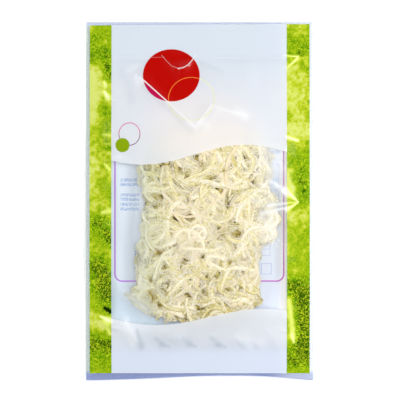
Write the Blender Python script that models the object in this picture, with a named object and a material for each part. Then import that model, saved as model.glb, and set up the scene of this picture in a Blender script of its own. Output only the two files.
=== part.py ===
"""A flat sealed pouch of shredded dried squid, lying on its back with its printed front up.

The pouch is one closed solid out to its film. Its rim is pressed flat by four seals, and
between them the film is drawn tight over the heap of squid, as a skin over an obstacle.
X runs across the pack, Y towards its top edge and Z out of its front.
"""

import math

import bmesh
import bpy
import numpy as np

MM = 0.001  # metres in a millimetre; every size below is in millimetres

PACK_WIDTH = 140.0
PACK_HEIGHT = 221.0
SIDE_SEAL = 9.0
TOP_SEAL = 22.0
BOTTOM_SEAL = 17.5
SEAL_THICKNESS = 0.5
BOTTOM_BOW = 2.9  # how far the filling draws the bottom edge up at its highest
BOTTOM_BOW_REACH = 30.0  # the bow dies out this far above the bottom edge
BOTTOM_BOW_SKEW = 1.55  # above 1 it moves the top of the bow to the right

# Height of the seals above the table
RIM_RISE = 1.3  # at the empty top edge
FLANK_RISE = 4.2  # beside the filling, which holds the sides up
FLANK_SPAN = 62.0
SIDE_WAVE = 0.45
SIDE_WAVE_LENGTH = 58.0
END_WAVE = 0.35
END_WAVE_LENGTH = 46.0

# The heap of squid
HEAP_CENTRE = (4.0, -20.0)
HEAP_HALF_WIDTH = 45.0
HEAP_HALF_HEIGHT = 57.0
HEAP_CORNER = 2.7  # exponent of the outline: 2 is an ellipse, more is squarer
HEAP_DEPTH = 13.6
HEAP_SHOULDER = 0.42  # lower is a steeper flank
HEAP_LOBE = 0.075  # how far the outline swells and shrinks, as a share of its radius
HEAP_SETTLE = 1.3  # how much deeper the heap is at its bottom end than in its middle
# Rolls of shreds that show through the film: wave length, direction in degrees, start, height
HEAP_ROLLS = (
    (27.0, 38.0, 0.4, 0.55),
    (21.0, 112.0, 1.7, 0.50),
    (16.5, 74.0, 3.1, 0.40),
    (14.0, 151.0, 0.9, 0.35),
)

# The film between the seals
CELL = 3.5
SEAL_CELLS_SIDE = 2
SEAL_CELLS_END = 4
SETTLING_STEPS = 4000
AIR_PUSH = 0.0042  # curvature that the trapped air gives the film, per millimetre
PUCKER_REACH = 8.0
# Ripples along the seals' inner edges: wave length, start, height
PUCKERS = (
    (31.0, 0.6, 0.24),
    (19.7, 2.9, 0.22),
    (12.6, 4.1, 0.15),
)
# Folds of the front film: start, end, height and half width
FOLDS = (
    ((-36.0, 75.0), (-3.0, 45.5), 1.5, 5.0),
    ((-3.0, 45.5), (7.5, 58.5), 1.4, 4.5),
    ((7.5, 58.5), (28.0, 52.5), 1.0, 5.0),
    ((-24.5, 88.0), (-13.4, 82.0), 0.7, 3.5),
    ((-13.4, 82.0), (-2.9, 88.0), 0.7, 3.5),
    ((61.0, -1.2), (40.0, -2.5), 1.3, 4.5),
    ((60.0, -79.0), (50.0, -92.0), 0.9, 4.0),
    ((-60.8, -72.5), (-37.0, -86.0), 1.2, 5.0),
)

FILM_COLOUR = (0.83, 0.86, 0.80, 1.0)
FILM_ROUGHNESS = 0.22


def clear_scene():
    """Remove whatever the scene holds."""
    for item in list(bpy.data.objects):
        bpy.data.objects.remove(item, do_unlink=True)


def smooth_step(value):
    """Rise from 0 to 1 with no corner at either end."""
    held = np.clip(value, 0.0, 1.0)
    return held * held * (3.0 - 2.0 * held)


def grid_lines(start_seal, end_seal, length, seal_cells):
    """Coordinates of the sheet's lines: even cells in each seal, and near CELL between them."""
    low, high = -length / 2 + start_seal, length / 2 - end_seal
    inner_cells = round((high - low) / CELL)
    return np.concatenate([
        np.linspace(-length / 2, low, seal_cells + 1)[:-1],
        np.linspace(low, high, inner_cells + 1),
        np.linspace(high, length / 2, seal_cells + 1)[1:],
    ])


def seal_height(x, y):
    """Height of the middle of the sealed rim above the table."""
    flank = np.exp(-((y - HEAP_CENTRE[1]) / FLANK_SPAN) ** 2)
    side = np.abs(2 * x / PACK_WIDTH) ** 4
    end = np.abs(2 * y / PACK_HEIGHT) ** 4
    side_wave = SIDE_WAVE * np.sin(2 * math.pi * y / SIDE_WAVE_LENGTH + np.sign(x)) * side
    end_wave = END_WAVE * np.sin(2 * math.pi * x / END_WAVE_LENGTH + np.sign(y)) * end
    return RIM_RISE + (FLANK_RISE - RIM_RISE) * flank + side_wave + end_wave


def heap_height(x, y):
    """Height of the heap's top above the table, and 0 off the heap."""
    across = (x - HEAP_CENTRE[0]) / HEAP_HALF_WIDTH
    along = (y - HEAP_CENTRE[1]) / HEAP_HALF_HEIGHT
    angle = np.arctan2(along, across)
    lobes = 1 + HEAP_LOBE * (np.sin(2 * angle + 2.4) + 0.6 * np.sin(3 * angle + 0.5))
    radius = (np.abs(across) ** HEAP_CORNER + np.abs(along) ** HEAP_CORNER) / lobes
    dome = np.clip(1 - radius, 0, None) ** HEAP_SHOULDER
    depth = HEAP_DEPTH - HEAP_SETTLE * along
    rolls = sum(
        height * np.sin(2 * math.pi * (x * math.cos(turn) + y * math.sin(turn)) / length + start)
        for length, turn, start, height in (
            (length, math.radians(degrees), start, height)
            for length, degrees, start, height in HEAP_ROLLS
        )
    )
    return dome * (depth + rolls)


def fold_height(x, y, start, end, height, half_width):
    """A ridge with a sharp crest along one line, lowest at its ends."""
    run = np.subtract(end, start)
    share = ((x - start[0]) * run[0] + (y - start[1]) * run[1]) / (run @ run)
    held = np.clip(share, 0, 1)
    away = np.hypot(x - start[0] - held * run[0], y - start[1] - held * run[1])
    return height * np.exp(-away / half_width)


def ripple(along, turn):
    """Height of an uneven wave along an edge, shifted by a turn in radians."""
    return sum(
        height * np.sin(2 * math.pi * along / length + start + turn)
        for length, start, height in PUCKERS
    )


def pucker_height(x, y, low, high):
    """Small ripples that start at the seals' inner edges and die out into the bag."""
    from_side = np.minimum(x - low[0], high[0] - x) / PUCKER_REACH
    from_end = np.minimum(y - low[1], high[1] - y) / PUCKER_REACH
    beside = ripple(y, 1.3 * np.sign(x)) * from_side * np.exp(1 - from_side)
    below = ripple(x, 2.2 * np.sign(y)) * from_end * np.exp(1 - from_end)
    return beside + below


def settled(heights, push, hold):
    """Let a film relax inside its fixed rim, pushed by air and held off by what it touches."""
    for _ in range(SETTLING_STEPS):
        middle = (
            heights[2:, 1:-1] + heights[:-2, 1:-1] + heights[1:-1, 2:] + heights[1:-1, :-2]
        ) / 4
        heights[1:-1, 1:-1] = hold(middle + push * CELL**2 / 4)
    return heights


def film_heights(x, y, inner):
    """Heights of the front and back film over the whole sheet, as two arrays."""
    middle = seal_height(x, y)
    front, back = middle + SEAL_THICKNESS / 2, middle - SEAL_THICKNESS / 2
    x_in, y_in = x[inner], y[inner]
    low, high = (x_in.min(), y_in.min()), (x_in.max(), y_in.max())
    heap = heap_height(x_in, y_in)

    back_in = back[inner].copy()
    settled(back_in, -AIR_PUSH, lambda z: np.where(heap[1:-1, 1:-1] > 0, 0, np.maximum(z, 0)))

    front_in = front[inner].copy()
    settled(front_in, AIR_PUSH, lambda z: np.maximum(z, heap[1:-1, 1:-1]))
    relief = sum(fold_height(x_in, y_in, *fold) for fold in FOLDS)
    relief = relief + pucker_height(x_in, y_in, low, high)
    inset = np.minimum.reduce([x_in - low[0], high[0] - x_in, y_in - low[1], high[1] - y_in])
    front_in += relief * smooth_step(inset / (1.5 * CELL))

    back[inner] = back_in
    front[inner] = np.maximum(front_in, back_in + SEAL_THICKNESS)
    return front, back


def bowed(x, y):
    """The place up the pack of a point of the sheet, once the bottom edge is drawn up."""
    share = (x + PACK_WIDTH / 2) / PACK_WIDTH
    bow = BOTTOM_BOW * math.sin(math.pi * min(max(share, 0.0), 1.0) ** BOTTOM_BOW_SKEW)
    from_bottom = (y + PACK_HEIGHT / 2) / BOTTOM_BOW_REACH
    return y + bow * float(1 - smooth_step(from_bottom))


def add_sheet(mesh, x_lines, y_lines, heights, faces_up):
    """Lay one film of the pouch into the mesh, and return its rim's edges."""
    made = bmesh.ops.create_grid(
        mesh, x_segments=len(x_lines) - 1, y_segments=len(y_lines) - 1, size=0.5
    )
    corners = made["verts"]
    for corner in corners:
        column = round((corner.co.x + 0.5) * (len(x_lines) - 1))
        row = round((corner.co.y + 0.5) * (len(y_lines) - 1))
        x, y = float(x_lines[column]), float(y_lines[row])
        corner.co = (x * MM, bowed(x, y) * MM, float(heights[row, column]) * MM)
    if not faces_up:
        faces = list({face for corner in corners for face in corner.link_faces})
        bmesh.ops.reverse_faces(mesh, faces=faces)
    edges = {edge for corner in corners for edge in corner.link_edges}
    return [edge for edge in edges if edge.is_boundary]


def film_material():
    """Pale glossy film over cream squid, as the closed pouch reads from a step away."""
    material = bpy.data.materials.new("pouch_film")
    material.use_nodes = True
    shader = material.node_tree.nodes["Principled BSDF"]
    shader.inputs["Base Color"].default_value = FILM_COLOUR
    shader.inputs["Roughness"].default_value = FILM_ROUGHNESS
    shader.inputs["Metallic"].default_value = 0.0
    return material


def build_pouch(collection):
    """The closed pouch: a front and a back film joined round their rim."""
    x_lines = grid_lines(SIDE_SEAL, SIDE_SEAL, PACK_WIDTH, SEAL_CELLS_SIDE)
    y_lines = grid_lines(BOTTOM_SEAL, TOP_SEAL, PACK_HEIGHT, SEAL_CELLS_END)
    x, y = np.meshgrid(x_lines, y_lines)
    inner = (
        slice(SEAL_CELLS_END, len(y_lines) - SEAL_CELLS_END),
        slice(SEAL_CELLS_SIDE, len(x_lines) - SEAL_CELLS_SIDE),
    )
    front, back = film_heights(x, y, inner)

    mesh = bmesh.new()
    rim = add_sheet(mesh, x_lines, y_lines, front, faces_up=True)
    rim += add_sheet(mesh, x_lines, y_lines, back, faces_up=False)
    bmesh.ops.bridge_loops(mesh, edges=rim)
    bmesh.ops.recalc_face_normals(mesh, faces=mesh.faces)

    data = bpy.data.meshes.new("squid_pack")
    mesh.to_mesh(data)
    mesh.free()
    data.shade_smooth()
    data.materials.append(film_material())
    pouch = bpy.data.objects.new("squid_pack", data)
    collection.objects.link(pouch)
    return pouch


def main():
    """Build the pack in a collection of its own."""
    clear_scene()
    collection = bpy.data.collections.new("squid_pack")
    bpy.context.scene.collection.children.link(collection)
    build_pouch(collection)


main()
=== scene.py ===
"""A sealed pouch of shredded dried squid: printed film, a clear window and the heap inside.

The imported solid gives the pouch's form. The film is drawn over it with its creases, and the
shreds are laid one by one until they fill the room under the film. X runs across the pouch,
Y towards its top edge and Z out of its front. Lengths are millimetres until a mesh is made.
"""

import logging
import math
from collections.abc import Sequence
from dataclasses import dataclass, field
from enum import Enum

import bpy
import numpy as np
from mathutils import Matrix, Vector
from mathutils.bvhtree import BVHTree
from numpy.typing import NDArray


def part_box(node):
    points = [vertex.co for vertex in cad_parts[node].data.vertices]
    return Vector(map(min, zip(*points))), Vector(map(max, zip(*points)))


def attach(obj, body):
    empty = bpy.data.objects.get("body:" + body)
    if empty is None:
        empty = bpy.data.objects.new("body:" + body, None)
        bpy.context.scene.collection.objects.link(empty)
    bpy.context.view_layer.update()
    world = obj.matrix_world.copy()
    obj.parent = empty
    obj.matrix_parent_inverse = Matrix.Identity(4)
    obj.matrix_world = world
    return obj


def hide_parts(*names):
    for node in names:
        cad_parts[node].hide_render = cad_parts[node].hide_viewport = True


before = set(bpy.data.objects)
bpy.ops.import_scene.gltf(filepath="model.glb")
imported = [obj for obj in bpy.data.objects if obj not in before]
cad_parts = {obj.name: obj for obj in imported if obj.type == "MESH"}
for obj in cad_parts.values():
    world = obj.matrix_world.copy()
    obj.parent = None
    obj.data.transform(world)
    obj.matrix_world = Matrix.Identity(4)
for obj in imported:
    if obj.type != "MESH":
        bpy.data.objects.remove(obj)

MM = 0.001  # metres in a millimetre
NODE = "squid_pack"
BODY = "root"

Array = NDArray[np.float64]
Colour = tuple[float, float, float]
Point = tuple[float, float]
Row = tuple[float, float, float, float]

log = logging.getLogger("squid_pouch")


def srgb(red: int, green: int, blue: int) -> Colour:
    """A colour from its 0 to 255 screen values, as the linear numbers that shaders take."""
    shares = (red / 255, green / 255, blue / 255)
    return tuple(s / 12.92 if s <= 0.04045 else ((s + 0.055) / 1.055) ** 2.4 for s in shares)


def smooth_step(value: Array) -> Array:
    """Rise from 0 to 1 with no corner at either end."""
    held = np.clip(value, 0.0, 1.0)
    return held * held * (3.0 - 2.0 * held)


def blurred(values: Array, sigma: float) -> Array:
    """Blur a map along both of its axes.

    Args:
        values: The map.
        sigma: The blur's standard deviation, in cells.

    Returns:
        The blurred map, of the same size.
    """
    reach = max(1, round(3 * sigma))
    weights = np.exp(-0.5 * (np.arange(-reach, reach + 1) / sigma) ** 2)
    weights /= weights.sum()
    for _ in range(2):
        padded = np.pad(values, ((reach, reach), (0, 0)), mode="edge")
        values = sum(w * padded[i : i + len(values)] for i, w in enumerate(weights)).T
    return values


def wavy(rng: np.random.Generator, count: int, knots: int) -> Array:
    """A smooth random line of a given number of points, mostly between -1 and 1.

    Args:
        rng: The source of chance.
        count: How many points it has.
        knots: How many bends it has room for.

    Returns:
        The line's values.
    """
    places = np.linspace(0, knots - 1.001, count)
    values = rng.uniform(-1, 1, knots + 1)
    index = places.astype(int)
    share = smooth_step(places - index)
    return values[index] * (1 - share) + values[index + 1] * share


def nearest(x: Array, y: Array, start: Point, end: Point) -> tuple[Array, Array]:
    """Where a straight run comes nearest to each place.

    Args:
        x: Places across the pouch.
        y: Places up the pouch.
        start: Where the run starts.
        end: Where it ends.

    Returns:
        How far along the run that is, from 0 to 1, and the distance to there.
    """
    run = np.subtract(end, start)
    share = ((x - start[0]) * run[0] + (y - start[1]) * run[1]) / (run @ run)
    held = np.clip(share, 0, 1)
    return held, np.hypot(x - start[0] - held * run[0], y - start[1] - held * run[1])


@dataclass
class HeightMap:
    """Heights on an even grid over the pouch."""

    low: Point
    step: float
    values: Array

    def at(self, x: Array, y: Array) -> Array:
        """Height at any places, by cubic interpolation.

        Args:
            x: Places across the pouch.
            y: Places up the pouch.

        Returns:
            The heights, in an array of the same shape.
        """
        across, along = self._places(x, y)
        column, row = np.floor(across).astype(int), np.floor(along).astype(int)
        total = np.zeros(np.shape(across))
        for i, wy in enumerate(self._weights(along - row)):
            for j, wx in enumerate(self._weights(across - column)):
                r = np.clip(row + i - 1, 0, self.values.shape[0] - 1)
                c = np.clip(column + j - 1, 0, self.values.shape[1] - 1)
                total += wy * wx * self.values[r, c]
        return total

    def _places(self, x: Array, y: Array) -> tuple[Array, Array]:
        """Places in cells, held inside the map.

        Args:
            x: Places across the pouch.
            y: Places up the pouch.

        Returns:
            Columns and rows, with fractions.
        """
        rows, columns = self.values.shape
        across = np.clip((np.asarray(x) - self.low[0]) / self.step, 0, columns - 1)
        along = np.clip((np.asarray(y) - self.low[1]) / self.step, 0, rows - 1)
        return across, along

    @staticmethod
    def _weights(t: Array) -> tuple[Array, Array, Array, Array]:
        """Catmull-Rom weights of the four points round a place.

        Args:
            t: How far the place lies past the second point, from 0 to 1.

        Returns:
            One weight for each point.
        """
        return (
            ((-0.5 * t + 1.0) * t - 0.5) * t,
            (1.5 * t - 2.5) * t * t + 1.0,
            ((-1.5 * t + 2.0) * t + 0.5) * t,
            (0.5 * t - 0.5) * t * t,
        )


class PouchForm:
    """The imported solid's front and back, read as smooth height maps."""

    STEP = 1.0
    FAR = 60.0
    INSET = 0.15  # keeps the outermost rays on the solid
    SMOOTHING = 1.7

    def __init__(self, node: bpy.types.Object) -> None:
        """Read the form from the CAD node.

        Args:
            node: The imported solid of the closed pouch.
        """
        low, high = (np.array(corner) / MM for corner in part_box(node.name))
        self.low, self.high = low, high
        mesh = node.data
        tree = BVHTree.FromPolygons(
            [v.co for v in mesh.vertices], [p.vertices for p in mesh.polygons]
        )
        self.front = self._read(tree, 1.0)
        self.back = self._read(tree, -1.0)

    def _read(self, tree: BVHTree, side: float) -> HeightMap:
        """Heights of the side that faces up, for 1, or down, for -1.

        Args:
            tree: The solid's faces.
            side: 1 for the front and -1 for the back.

        Returns:
            The side's heights, smoothed.
        """
        xs = np.arange(self.low[0], self.high[0] + self.STEP, self.STEP)
        ys = np.arange(self.low[1], self.high[1] + self.STEP, self.STEP)
        cast_x = np.clip(xs, self.low[0] + self.INSET, self.high[0] - self.INSET)
        cast_y = np.clip(ys, self.low[1] + self.INSET, self.high[1] - self.INSET)
        way = Vector((0, 0, -side))
        heights = np.full((len(ys), len(xs)), np.nan)
        for row, y in enumerate(cast_y):
            for column, x in enumerate(cast_x):
                start = Vector((x, y, side * self.FAR)) * MM
                hit = tree.ray_cast(start, way)[0]
                if hit is not None:
                    heights[row, column] = hit.z / MM
        self._fill(heights)
        smooth = blurred(heights, self.SMOOTHING / self.STEP)
        return HeightMap((float(xs[0]), float(ys[0])), self.STEP, smooth)

    @staticmethod
    def _fill(heights: Array) -> None:
        """Carry the nearest height outwards over rows where the solid ends early.

        Args:
            heights: The map, which is filled where it stands.
        """
        middle = len(heights) // 2
        for rows in (range(middle, len(heights)), range(middle, -1, -1)):
            last = heights[middle]
            for row in rows:
                heights[row] = np.where(np.isnan(heights[row]), last, heights[row])
                last = heights[row]


class Region(Enum):
    """What is printed on a stretch of the front film."""

    MARGIN = "margin"
    BAND = "band"
    PANEL = "panel"
    WINDOW = "window"


@dataclass(frozen=True)
class Layout:
    """Where the print's fields lie on the front film."""

    half_width: float = 70.0
    half_height: float = 110.5
    band_left: tuple[float, float] = (-67.85, -54.4)
    band_right: tuple[float, float] = (53.6, 67.75)
    print_bottom: float = -106.1
    print_top: float = 108.4
    top_slope: float = 0.006  # the print runs slightly off square at the top
    top_wave: Row = (28.45, 6.05, 63.0, 3.5)
    bottom_wave: Row = (-71.1, 5.0, 65.0, -5.5)
    bottom_bow: float = 2.9
    bow_skew: float = 1.55
    cell: float = 0.7

    def wave(self, x: Array, curve: Row) -> Array:
        """Height up the pouch of a panel's wavy edge.

        Args:
            x: Places across the pouch.
            curve: The wave's middle, swing, half length and shift.

        Returns:
            The heights.
        """
        middle, swing, half_wave, shift = curve
        held = np.clip(x, self.band_left[1], self.band_right[0])
        return middle + swing * np.sin(math.pi * (held + shift) / half_wave)

    def bottom_edge(self, x: Array) -> Array:
        """Height up the pouch of the bottom edge, which the filling draws up.

        Args:
            x: Places across the pouch.

        Returns:
            The heights.
        """
        share = np.clip((x + self.half_width) / (2 * self.half_width), 0, 1)
        bow = self.bottom_bow * np.sin(math.pi * share**self.bow_skew)
        return -self.half_height + bow

    def columns(self) -> tuple[Array, Array]:
        """The grid's lines across the pouch, and the stretch that each cell lies in."""
        stops = (-self.half_width, *self.band_left, *self.band_right, self.half_width)
        return self._lines([np.array(stop) for stop in stops])

    def rows(self, x: Array) -> tuple[Array, Array]:
        """The grid's lines up the pouch at each x, and the stretch that each cell lies in.

        Args:
            x: The grid's lines across the pouch.

        Returns:
            The lines, rows by columns, and one stretch for each row of cells.
        """
        stops = (
            self.bottom_edge(x),
            np.full(x.shape, self.print_bottom),
            self.wave(x, self.bottom_wave),
            self.wave(x, self.top_wave),
            self.print_top + self.top_slope * (x + self.half_width),
            np.full(x.shape, self.half_height),
        )
        return self._lines(stops)

    def _lines(self, stops: Sequence[Array]) -> tuple[Array, Array]:
        """Split the stretches between stops into cells, and number each cell's stretch.

        Args:
            stops: Where each stretch starts, and where the last one ends.

        Returns:
            The cells' lines, and the stretch that each cell lies in.
        """
        lines, stretch = [], []
        for index, (start, end) in enumerate(zip(stops, stops[1:])):
            cells = max(2, round(float(np.mean(end - start)) / self.cell))
            lines += [start + (end - start) * i / cells for i in range(cells)]
            stretch += [index] * cells
        return np.array([*lines, stops[-1]]), np.array(stretch)

    def region(self, column: Array, row: Array) -> Array:
        """The region that each cell lies in.

        Args:
            column: The stretch that each column of cells lies in.
            row: The stretch that each row of cells lies in.

        Returns:
            Region members, rows by columns.
        """
        c, r = np.meshgrid(column, row)
        found = np.full(c.shape, Region.WINDOW, dtype=object)
        found[(r == 1) | (r == 3)] = Region.PANEL
        found[(c == 1) | (c == 3)] = Region.BAND
        found[(c == 0) | (c == 4) | (r == 0) | (r == 4)] = Region.MARGIN
        return found


def linked(name: str, data: bpy.types.ID) -> bpy.types.Object:
    """A new object in the scene.

    Args:
        name: Its name.
        data: Its mesh, lamp or lens.

    Returns:
        The object, at the origin.
    """
    made = bpy.data.objects.new(name, data)
    bpy.context.scene.collection.objects.link(made)
    return made


def store(mesh: bpy.types.Mesh, name: str, values: Array) -> None:
    """Store a number on each of a mesh's points, as a named attribute."""
    stored = mesh.attributes.new(name, "FLOAT", "POINT")
    stored.data.foreach_set("value", values.astype(np.float32))


def make_mesh(name: str, points: Array, faces: Array) -> bpy.types.Object:
    """A mesh object in the scene, from points in millimetres.

    Args:
        name: The piece's name.
        points: One row of x, y and z for each point.
        faces: One row of point numbers for each face, all with as many corners.

    Returns:
        The new object, at the origin.
    """
    mesh = bpy.data.meshes.new(name)
    mesh.from_pydata((points * MM).tolist(), [], faces.tolist())
    mesh.update()
    mesh.shade_smooth()
    return linked(name, mesh)


def grid_faces(mask: Array) -> Array:
    """Corner numbers, anticlockwise from above, of the cells where the mask holds.

    Args:
        mask: Which cells have a face, rows by columns.

    Returns:
        Four numbers a face, for points laid out row by row.
    """
    rows, columns = np.nonzero(mask)
    width = mask.shape[1] + 1
    first = rows * width + columns
    return np.stack([first, first + 1, first + 1 + width, first + width], axis=1)


def without_strays(points: Array, faces: Array) -> tuple[Array, Array]:
    """Drop the points that no face uses, and number the rest anew."""
    used, numbers = np.unique(faces, return_inverse=True)
    return points[used], numbers.reshape(faces.shape)


class Sketch:
    """A node tree in the making, which turns arithmetic into Math nodes."""

    def __init__(self, tree: bpy.types.NodeTree) -> None:
        """Start on an empty tree."""
        self.tree = tree
        tree.nodes.clear()

    def node(
        self, kind: str, fed: dict[int | str, object] | None = None, **settings: object
    ) -> bpy.types.Node:
        """Add a node, with its properties set and its inputs fed.

        Args:
            kind: The node's type.
            fed: What its inputs are given, by their names or numbers.
            settings: Its properties.

        Returns:
            The new node.
        """
        made = self.tree.nodes.new(kind)
        for name, value in settings.items():
            setattr(made, name, value)
        for socket, value in (fed or {}).items():
            self.feed(made.inputs[socket], value)
        return made

    def feed(self, socket: bpy.types.NodeSocket, value: object) -> None:
        """Give a socket a field, another node's output or a plain value.

        Args:
            socket: The input.
            value: What it is given.
        """
        if isinstance(value, Field):
            value = value.socket
        if isinstance(value, bpy.types.NodeSocket):
            self.tree.links.new(value, socket)
        elif isinstance(value, tuple) and len(value) == 3 and socket.type == "RGBA":
            socket.default_value = (*value, 1.0)
        else:
            socket.default_value = value

    def math(self, operation: str, *values: object) -> "Field":
        """The result of one Math node."""
        made = self.node("ShaderNodeMath", dict(enumerate(values)), operation=operation)
        return Field(self, made.outputs[0])

    def ramp(self, value: object, start: float, end: float) -> "Field":
        """0 before start and 1 after end, smooth between; start may be the larger.

        Args:
            value: The number that is ramped.
            start: Where the rise starts.
            end: Where it ends.

        Returns:
            The share.
        """
        fed = {"Value": value, "From Min": start, "From Max": end}
        made = self.node("ShaderNodeMapRange", fed, interpolation_type="SMOOTHSTEP")
        return Field(self, made.outputs["Result"])

    def mix(self, share: object, first: object, second: object) -> "Field":
        """A colour between two.

        Args:
            share: 0 for all of the first colour and 1 for all of the second.
            first: The first colour.
            second: The second colour.

        Returns:
            The mixture.
        """
        made = self.node("ShaderNodeMix", data_type="RGBA")
        for name, given in (("Factor_Float", share), ("A_Color", first), ("B_Color", second)):
            socket = next(s for s in made.inputs if s.identifier == name)
            self.feed(socket, given)
        return Field(self, next(s for s in made.outputs if s.identifier == "Result_Color"))

    def vector(self, x: object, y: object, z: object) -> "Field":
        """A vector from three numbers."""
        made = self.node("ShaderNodeCombineXYZ", {0: x, 1: y, 2: z})
        return Field(self, made.outputs[0])

    def noise(
        self, place: object, scale: float, detail: float = 2.0, twist: float = 0.0
    ) -> "Field":
        """Smooth noise from 0 to 1 or so.

        Args:
            place: Where it is read.
            scale: Its waves in each unit of length.
            detail: How many finer layers it has.
            twist: How far it is warped.

        Returns:
            The noise.
        """
        fed = {"Vector": place, "Scale": scale, "Detail": detail, "Distortion": twist}
        return Field(self, self.node("ShaderNodeTexNoise", fed).outputs[0])


@dataclass(frozen=True)
class Field:
    """A number, vector or colour that a tree works out at each point."""

    sketch: Sketch
    socket: bpy.types.NodeSocket

    def __add__(self, other: object) -> "Field":
        """Sum."""
        return self.sketch.math("ADD", self, other)

    def __sub__(self, other: object) -> "Field":
        """Difference."""
        return self.sketch.math("SUBTRACT", self, other)

    def __mul__(self, other: object) -> "Field":
        """Product."""
        return self.sketch.math("MULTIPLY", self, other)

    def __truediv__(self, other: object) -> "Field":
        """Quotient."""
        return self.sketch.math("DIVIDE", self, other)

    def __abs__(self) -> "Field":
        """Size without its sign."""
        return self.sketch.math("ABSOLUTE", self)


class Finish:
    """A material in the making: its sketch, its shader and its place in millimetres."""

    def __init__(self, name: str, roughness: float, **values: object) -> None:
        """Start a material on one Principled shader.

        Args:
            name: The material's name.
            roughness: The shader's roughness.
            values: Values of the shader's other sockets, by their names with underscores.
        """
        self.material = bpy.data.materials.new(name)
        self.material.use_nodes = True
        self.sketch = Sketch(self.material.node_tree)
        self.output = self.sketch.node("ShaderNodeOutputMaterial")
        self.shader = self.sketch.node("ShaderNodeBsdfPrincipled", {"Roughness": roughness})
        for socket, value in values.items():
            label = socket.replace("_", " ").title().replace("Ior", "IOR")
            self.sketch.feed(self.shader.inputs[label], value)
        self.sketch.feed(self.output.inputs["Surface"], self.shader.outputs[0])

    def place(self) -> tuple[Field, Field, Field]:
        """The place on the object itself, in millimetres.

        Returns:
            Its x, its y and the whole vector.
        """
        sketch = self.sketch
        fed = {0: sketch.node("ShaderNodeTexCoord").outputs["Object"], "Scale": 1 / MM}
        scaled = sketch.node("ShaderNodeVectorMath", fed, operation="SCALE")
        split = sketch.node("ShaderNodeSeparateXYZ", {0: scaled.outputs[0]})
        x, y = (Field(sketch, split.outputs[i]) for i in range(2))
        return x, y, Field(sketch, scaled.outputs[0])

    def attribute(self, name: str) -> Field:
        """A number stored on the mesh."""
        made = self.sketch.node("ShaderNodeAttribute", attribute_name=name)
        return Field(self.sketch, made.outputs["Fac"])

    def colour(self, value: object) -> None:
        """Set the base colour."""
        self.sketch.feed(self.shader.inputs["Base Color"], value)

    def let_through(self, colour: object, share: float) -> None:
        """Let a share of the light come through a thin sheet, in its own colour.

        Args:
            colour: The colour of what comes through.
            share: How much does, from 0 to 1.
        """
        through = self.sketch.node("ShaderNodeBsdfTranslucent", {"Color": colour})
        fed = {0: share, 1: self.shader.outputs[0], 2: through.outputs[0]}
        mixed = self.sketch.node("ShaderNodeMixShader", fed)
        self.sketch.feed(self.output.inputs["Surface"], mixed.outputs[0])

    def bump(self, height: object, distance: float, strength: float = 1.0) -> None:
        """Give the surface a fine relief, its depth in millimetres.

        Args:
            height: The relief, from 0 to 1.
            distance: Its depth in millimetres.
            strength: How strongly it tells.
        """
        fed = {"Strength": strength, "Distance": distance * MM, "Height": height}
        made = self.sketch.node("ShaderNodeBump", fed)
        self.sketch.feed(self.shader.inputs["Normal"], made.outputs[0])


@dataclass(frozen=True)
class Crease:
    """A sharp ridge of the film along a line of two or more points."""

    points: tuple[Point, ...]
    height: float
    half_width: float
    crest: float = 0.35
    white: float = 0.0  # how strong the white line painted along the crest is: a painted highlight, partly stress whitening

    def distance(self, sketch: Sketch, x: Field, y: Field) -> Field:
        """How far a place is from the crease, as nodes.

        Args:
            sketch: The material's sketch.
            x: Places across the pouch.
            y: Places up the pouch.

        Returns:
            The distance in millimetres.
        """
        nearest = None
        for start, end in zip(self.points, self.points[1:]):
            run = (end[0] - start[0], end[1] - start[1])
            length = math.hypot(*run)
            dx, dy = x - start[0], y - start[1]
            ahead = dx * (run[0] / length) + dy * (run[1] / length)
            over = ahead - sketch.math("MINIMUM", sketch.math("MAXIMUM", ahead, 0.0), length)
            aside = dx * (run[1] / length) - dy * (run[0] / length)
            gap = sketch.math("SQRT", over * over + aside * aside)
            nearest = gap if nearest is None else sketch.math("MINIMUM", nearest, gap)
        return nearest

    def relief(self, x: Array, y: Array) -> Array:
        """How far the crease lifts the film.

        Args:
            x: Places across the pouch.
            y: Places up the pouch.

        Returns:
            The lift at each place.
        """
        away = np.full(x.shape, np.inf)
        share = np.zeros(x.shape)
        total = len(self.points) - 1
        for index, (start, end) in enumerate(zip(self.points, self.points[1:])):
            held, gap = nearest(x, y, start, end)
            share = np.where(gap < away, (index + held) / total, share)
            away = np.minimum(away, gap)
        sharp = np.sqrt(away**2 + self.crest**2) - self.crest
        ends = smooth_step(np.minimum(share, 1 - share) * 4 + 0.25)
        return self.height * ends * np.exp(-sharp / self.half_width)


@dataclass(frozen=True)
class Pucker:
    """A buckle that starts at a point of a side seal and opens into the bag."""

    apex: Point
    heading: float  # degrees
    length: float
    spread: float  # half its width at full length
    height: float

    def relief(self, x: Array, y: Array) -> Array:
        """How far the buckle lifts the film.

        Args:
            x: Places across the pouch.
            y: Places up the pouch.

        Returns:
            The lift at each place.
        """
        turn = math.radians(self.heading)
        dx, dy = x - self.apex[0], y - self.apex[1]
        ahead = (dx * math.cos(turn) + dy * math.sin(turn)) / self.length
        aside = -dx * math.sin(turn) + dy * math.cos(turn)
        width = np.maximum(self.spread * ahead, 0.3)
        crest = np.clip(1 - np.abs(aside) / width, 0, 1) ** 1.3
        run = np.clip(ahead, 0, 1)
        return self.height * crest * smooth_step(run * 3) * (1 - run) ** 1.5 * 2


@dataclass(frozen=True)
class Streak:
    """A soft streak or spot, from one place to another."""

    start: Point
    end: Point
    near: float  # half its width at its start
    far: float  # half its width at its end
    strength: float

    def cover(self, x: Array, y: Array) -> Array:
        """How strong the streak is.

        Args:
            x: Places across the pouch.
            y: Places up the pouch.

        Returns:
            Its strength at each place.
        """
        held, gap = nearest(x, y, self.start, self.end)
        width = self.near + (self.far - self.near) * held
        return self.strength * np.exp(-((gap / width) ** 2))


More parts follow.
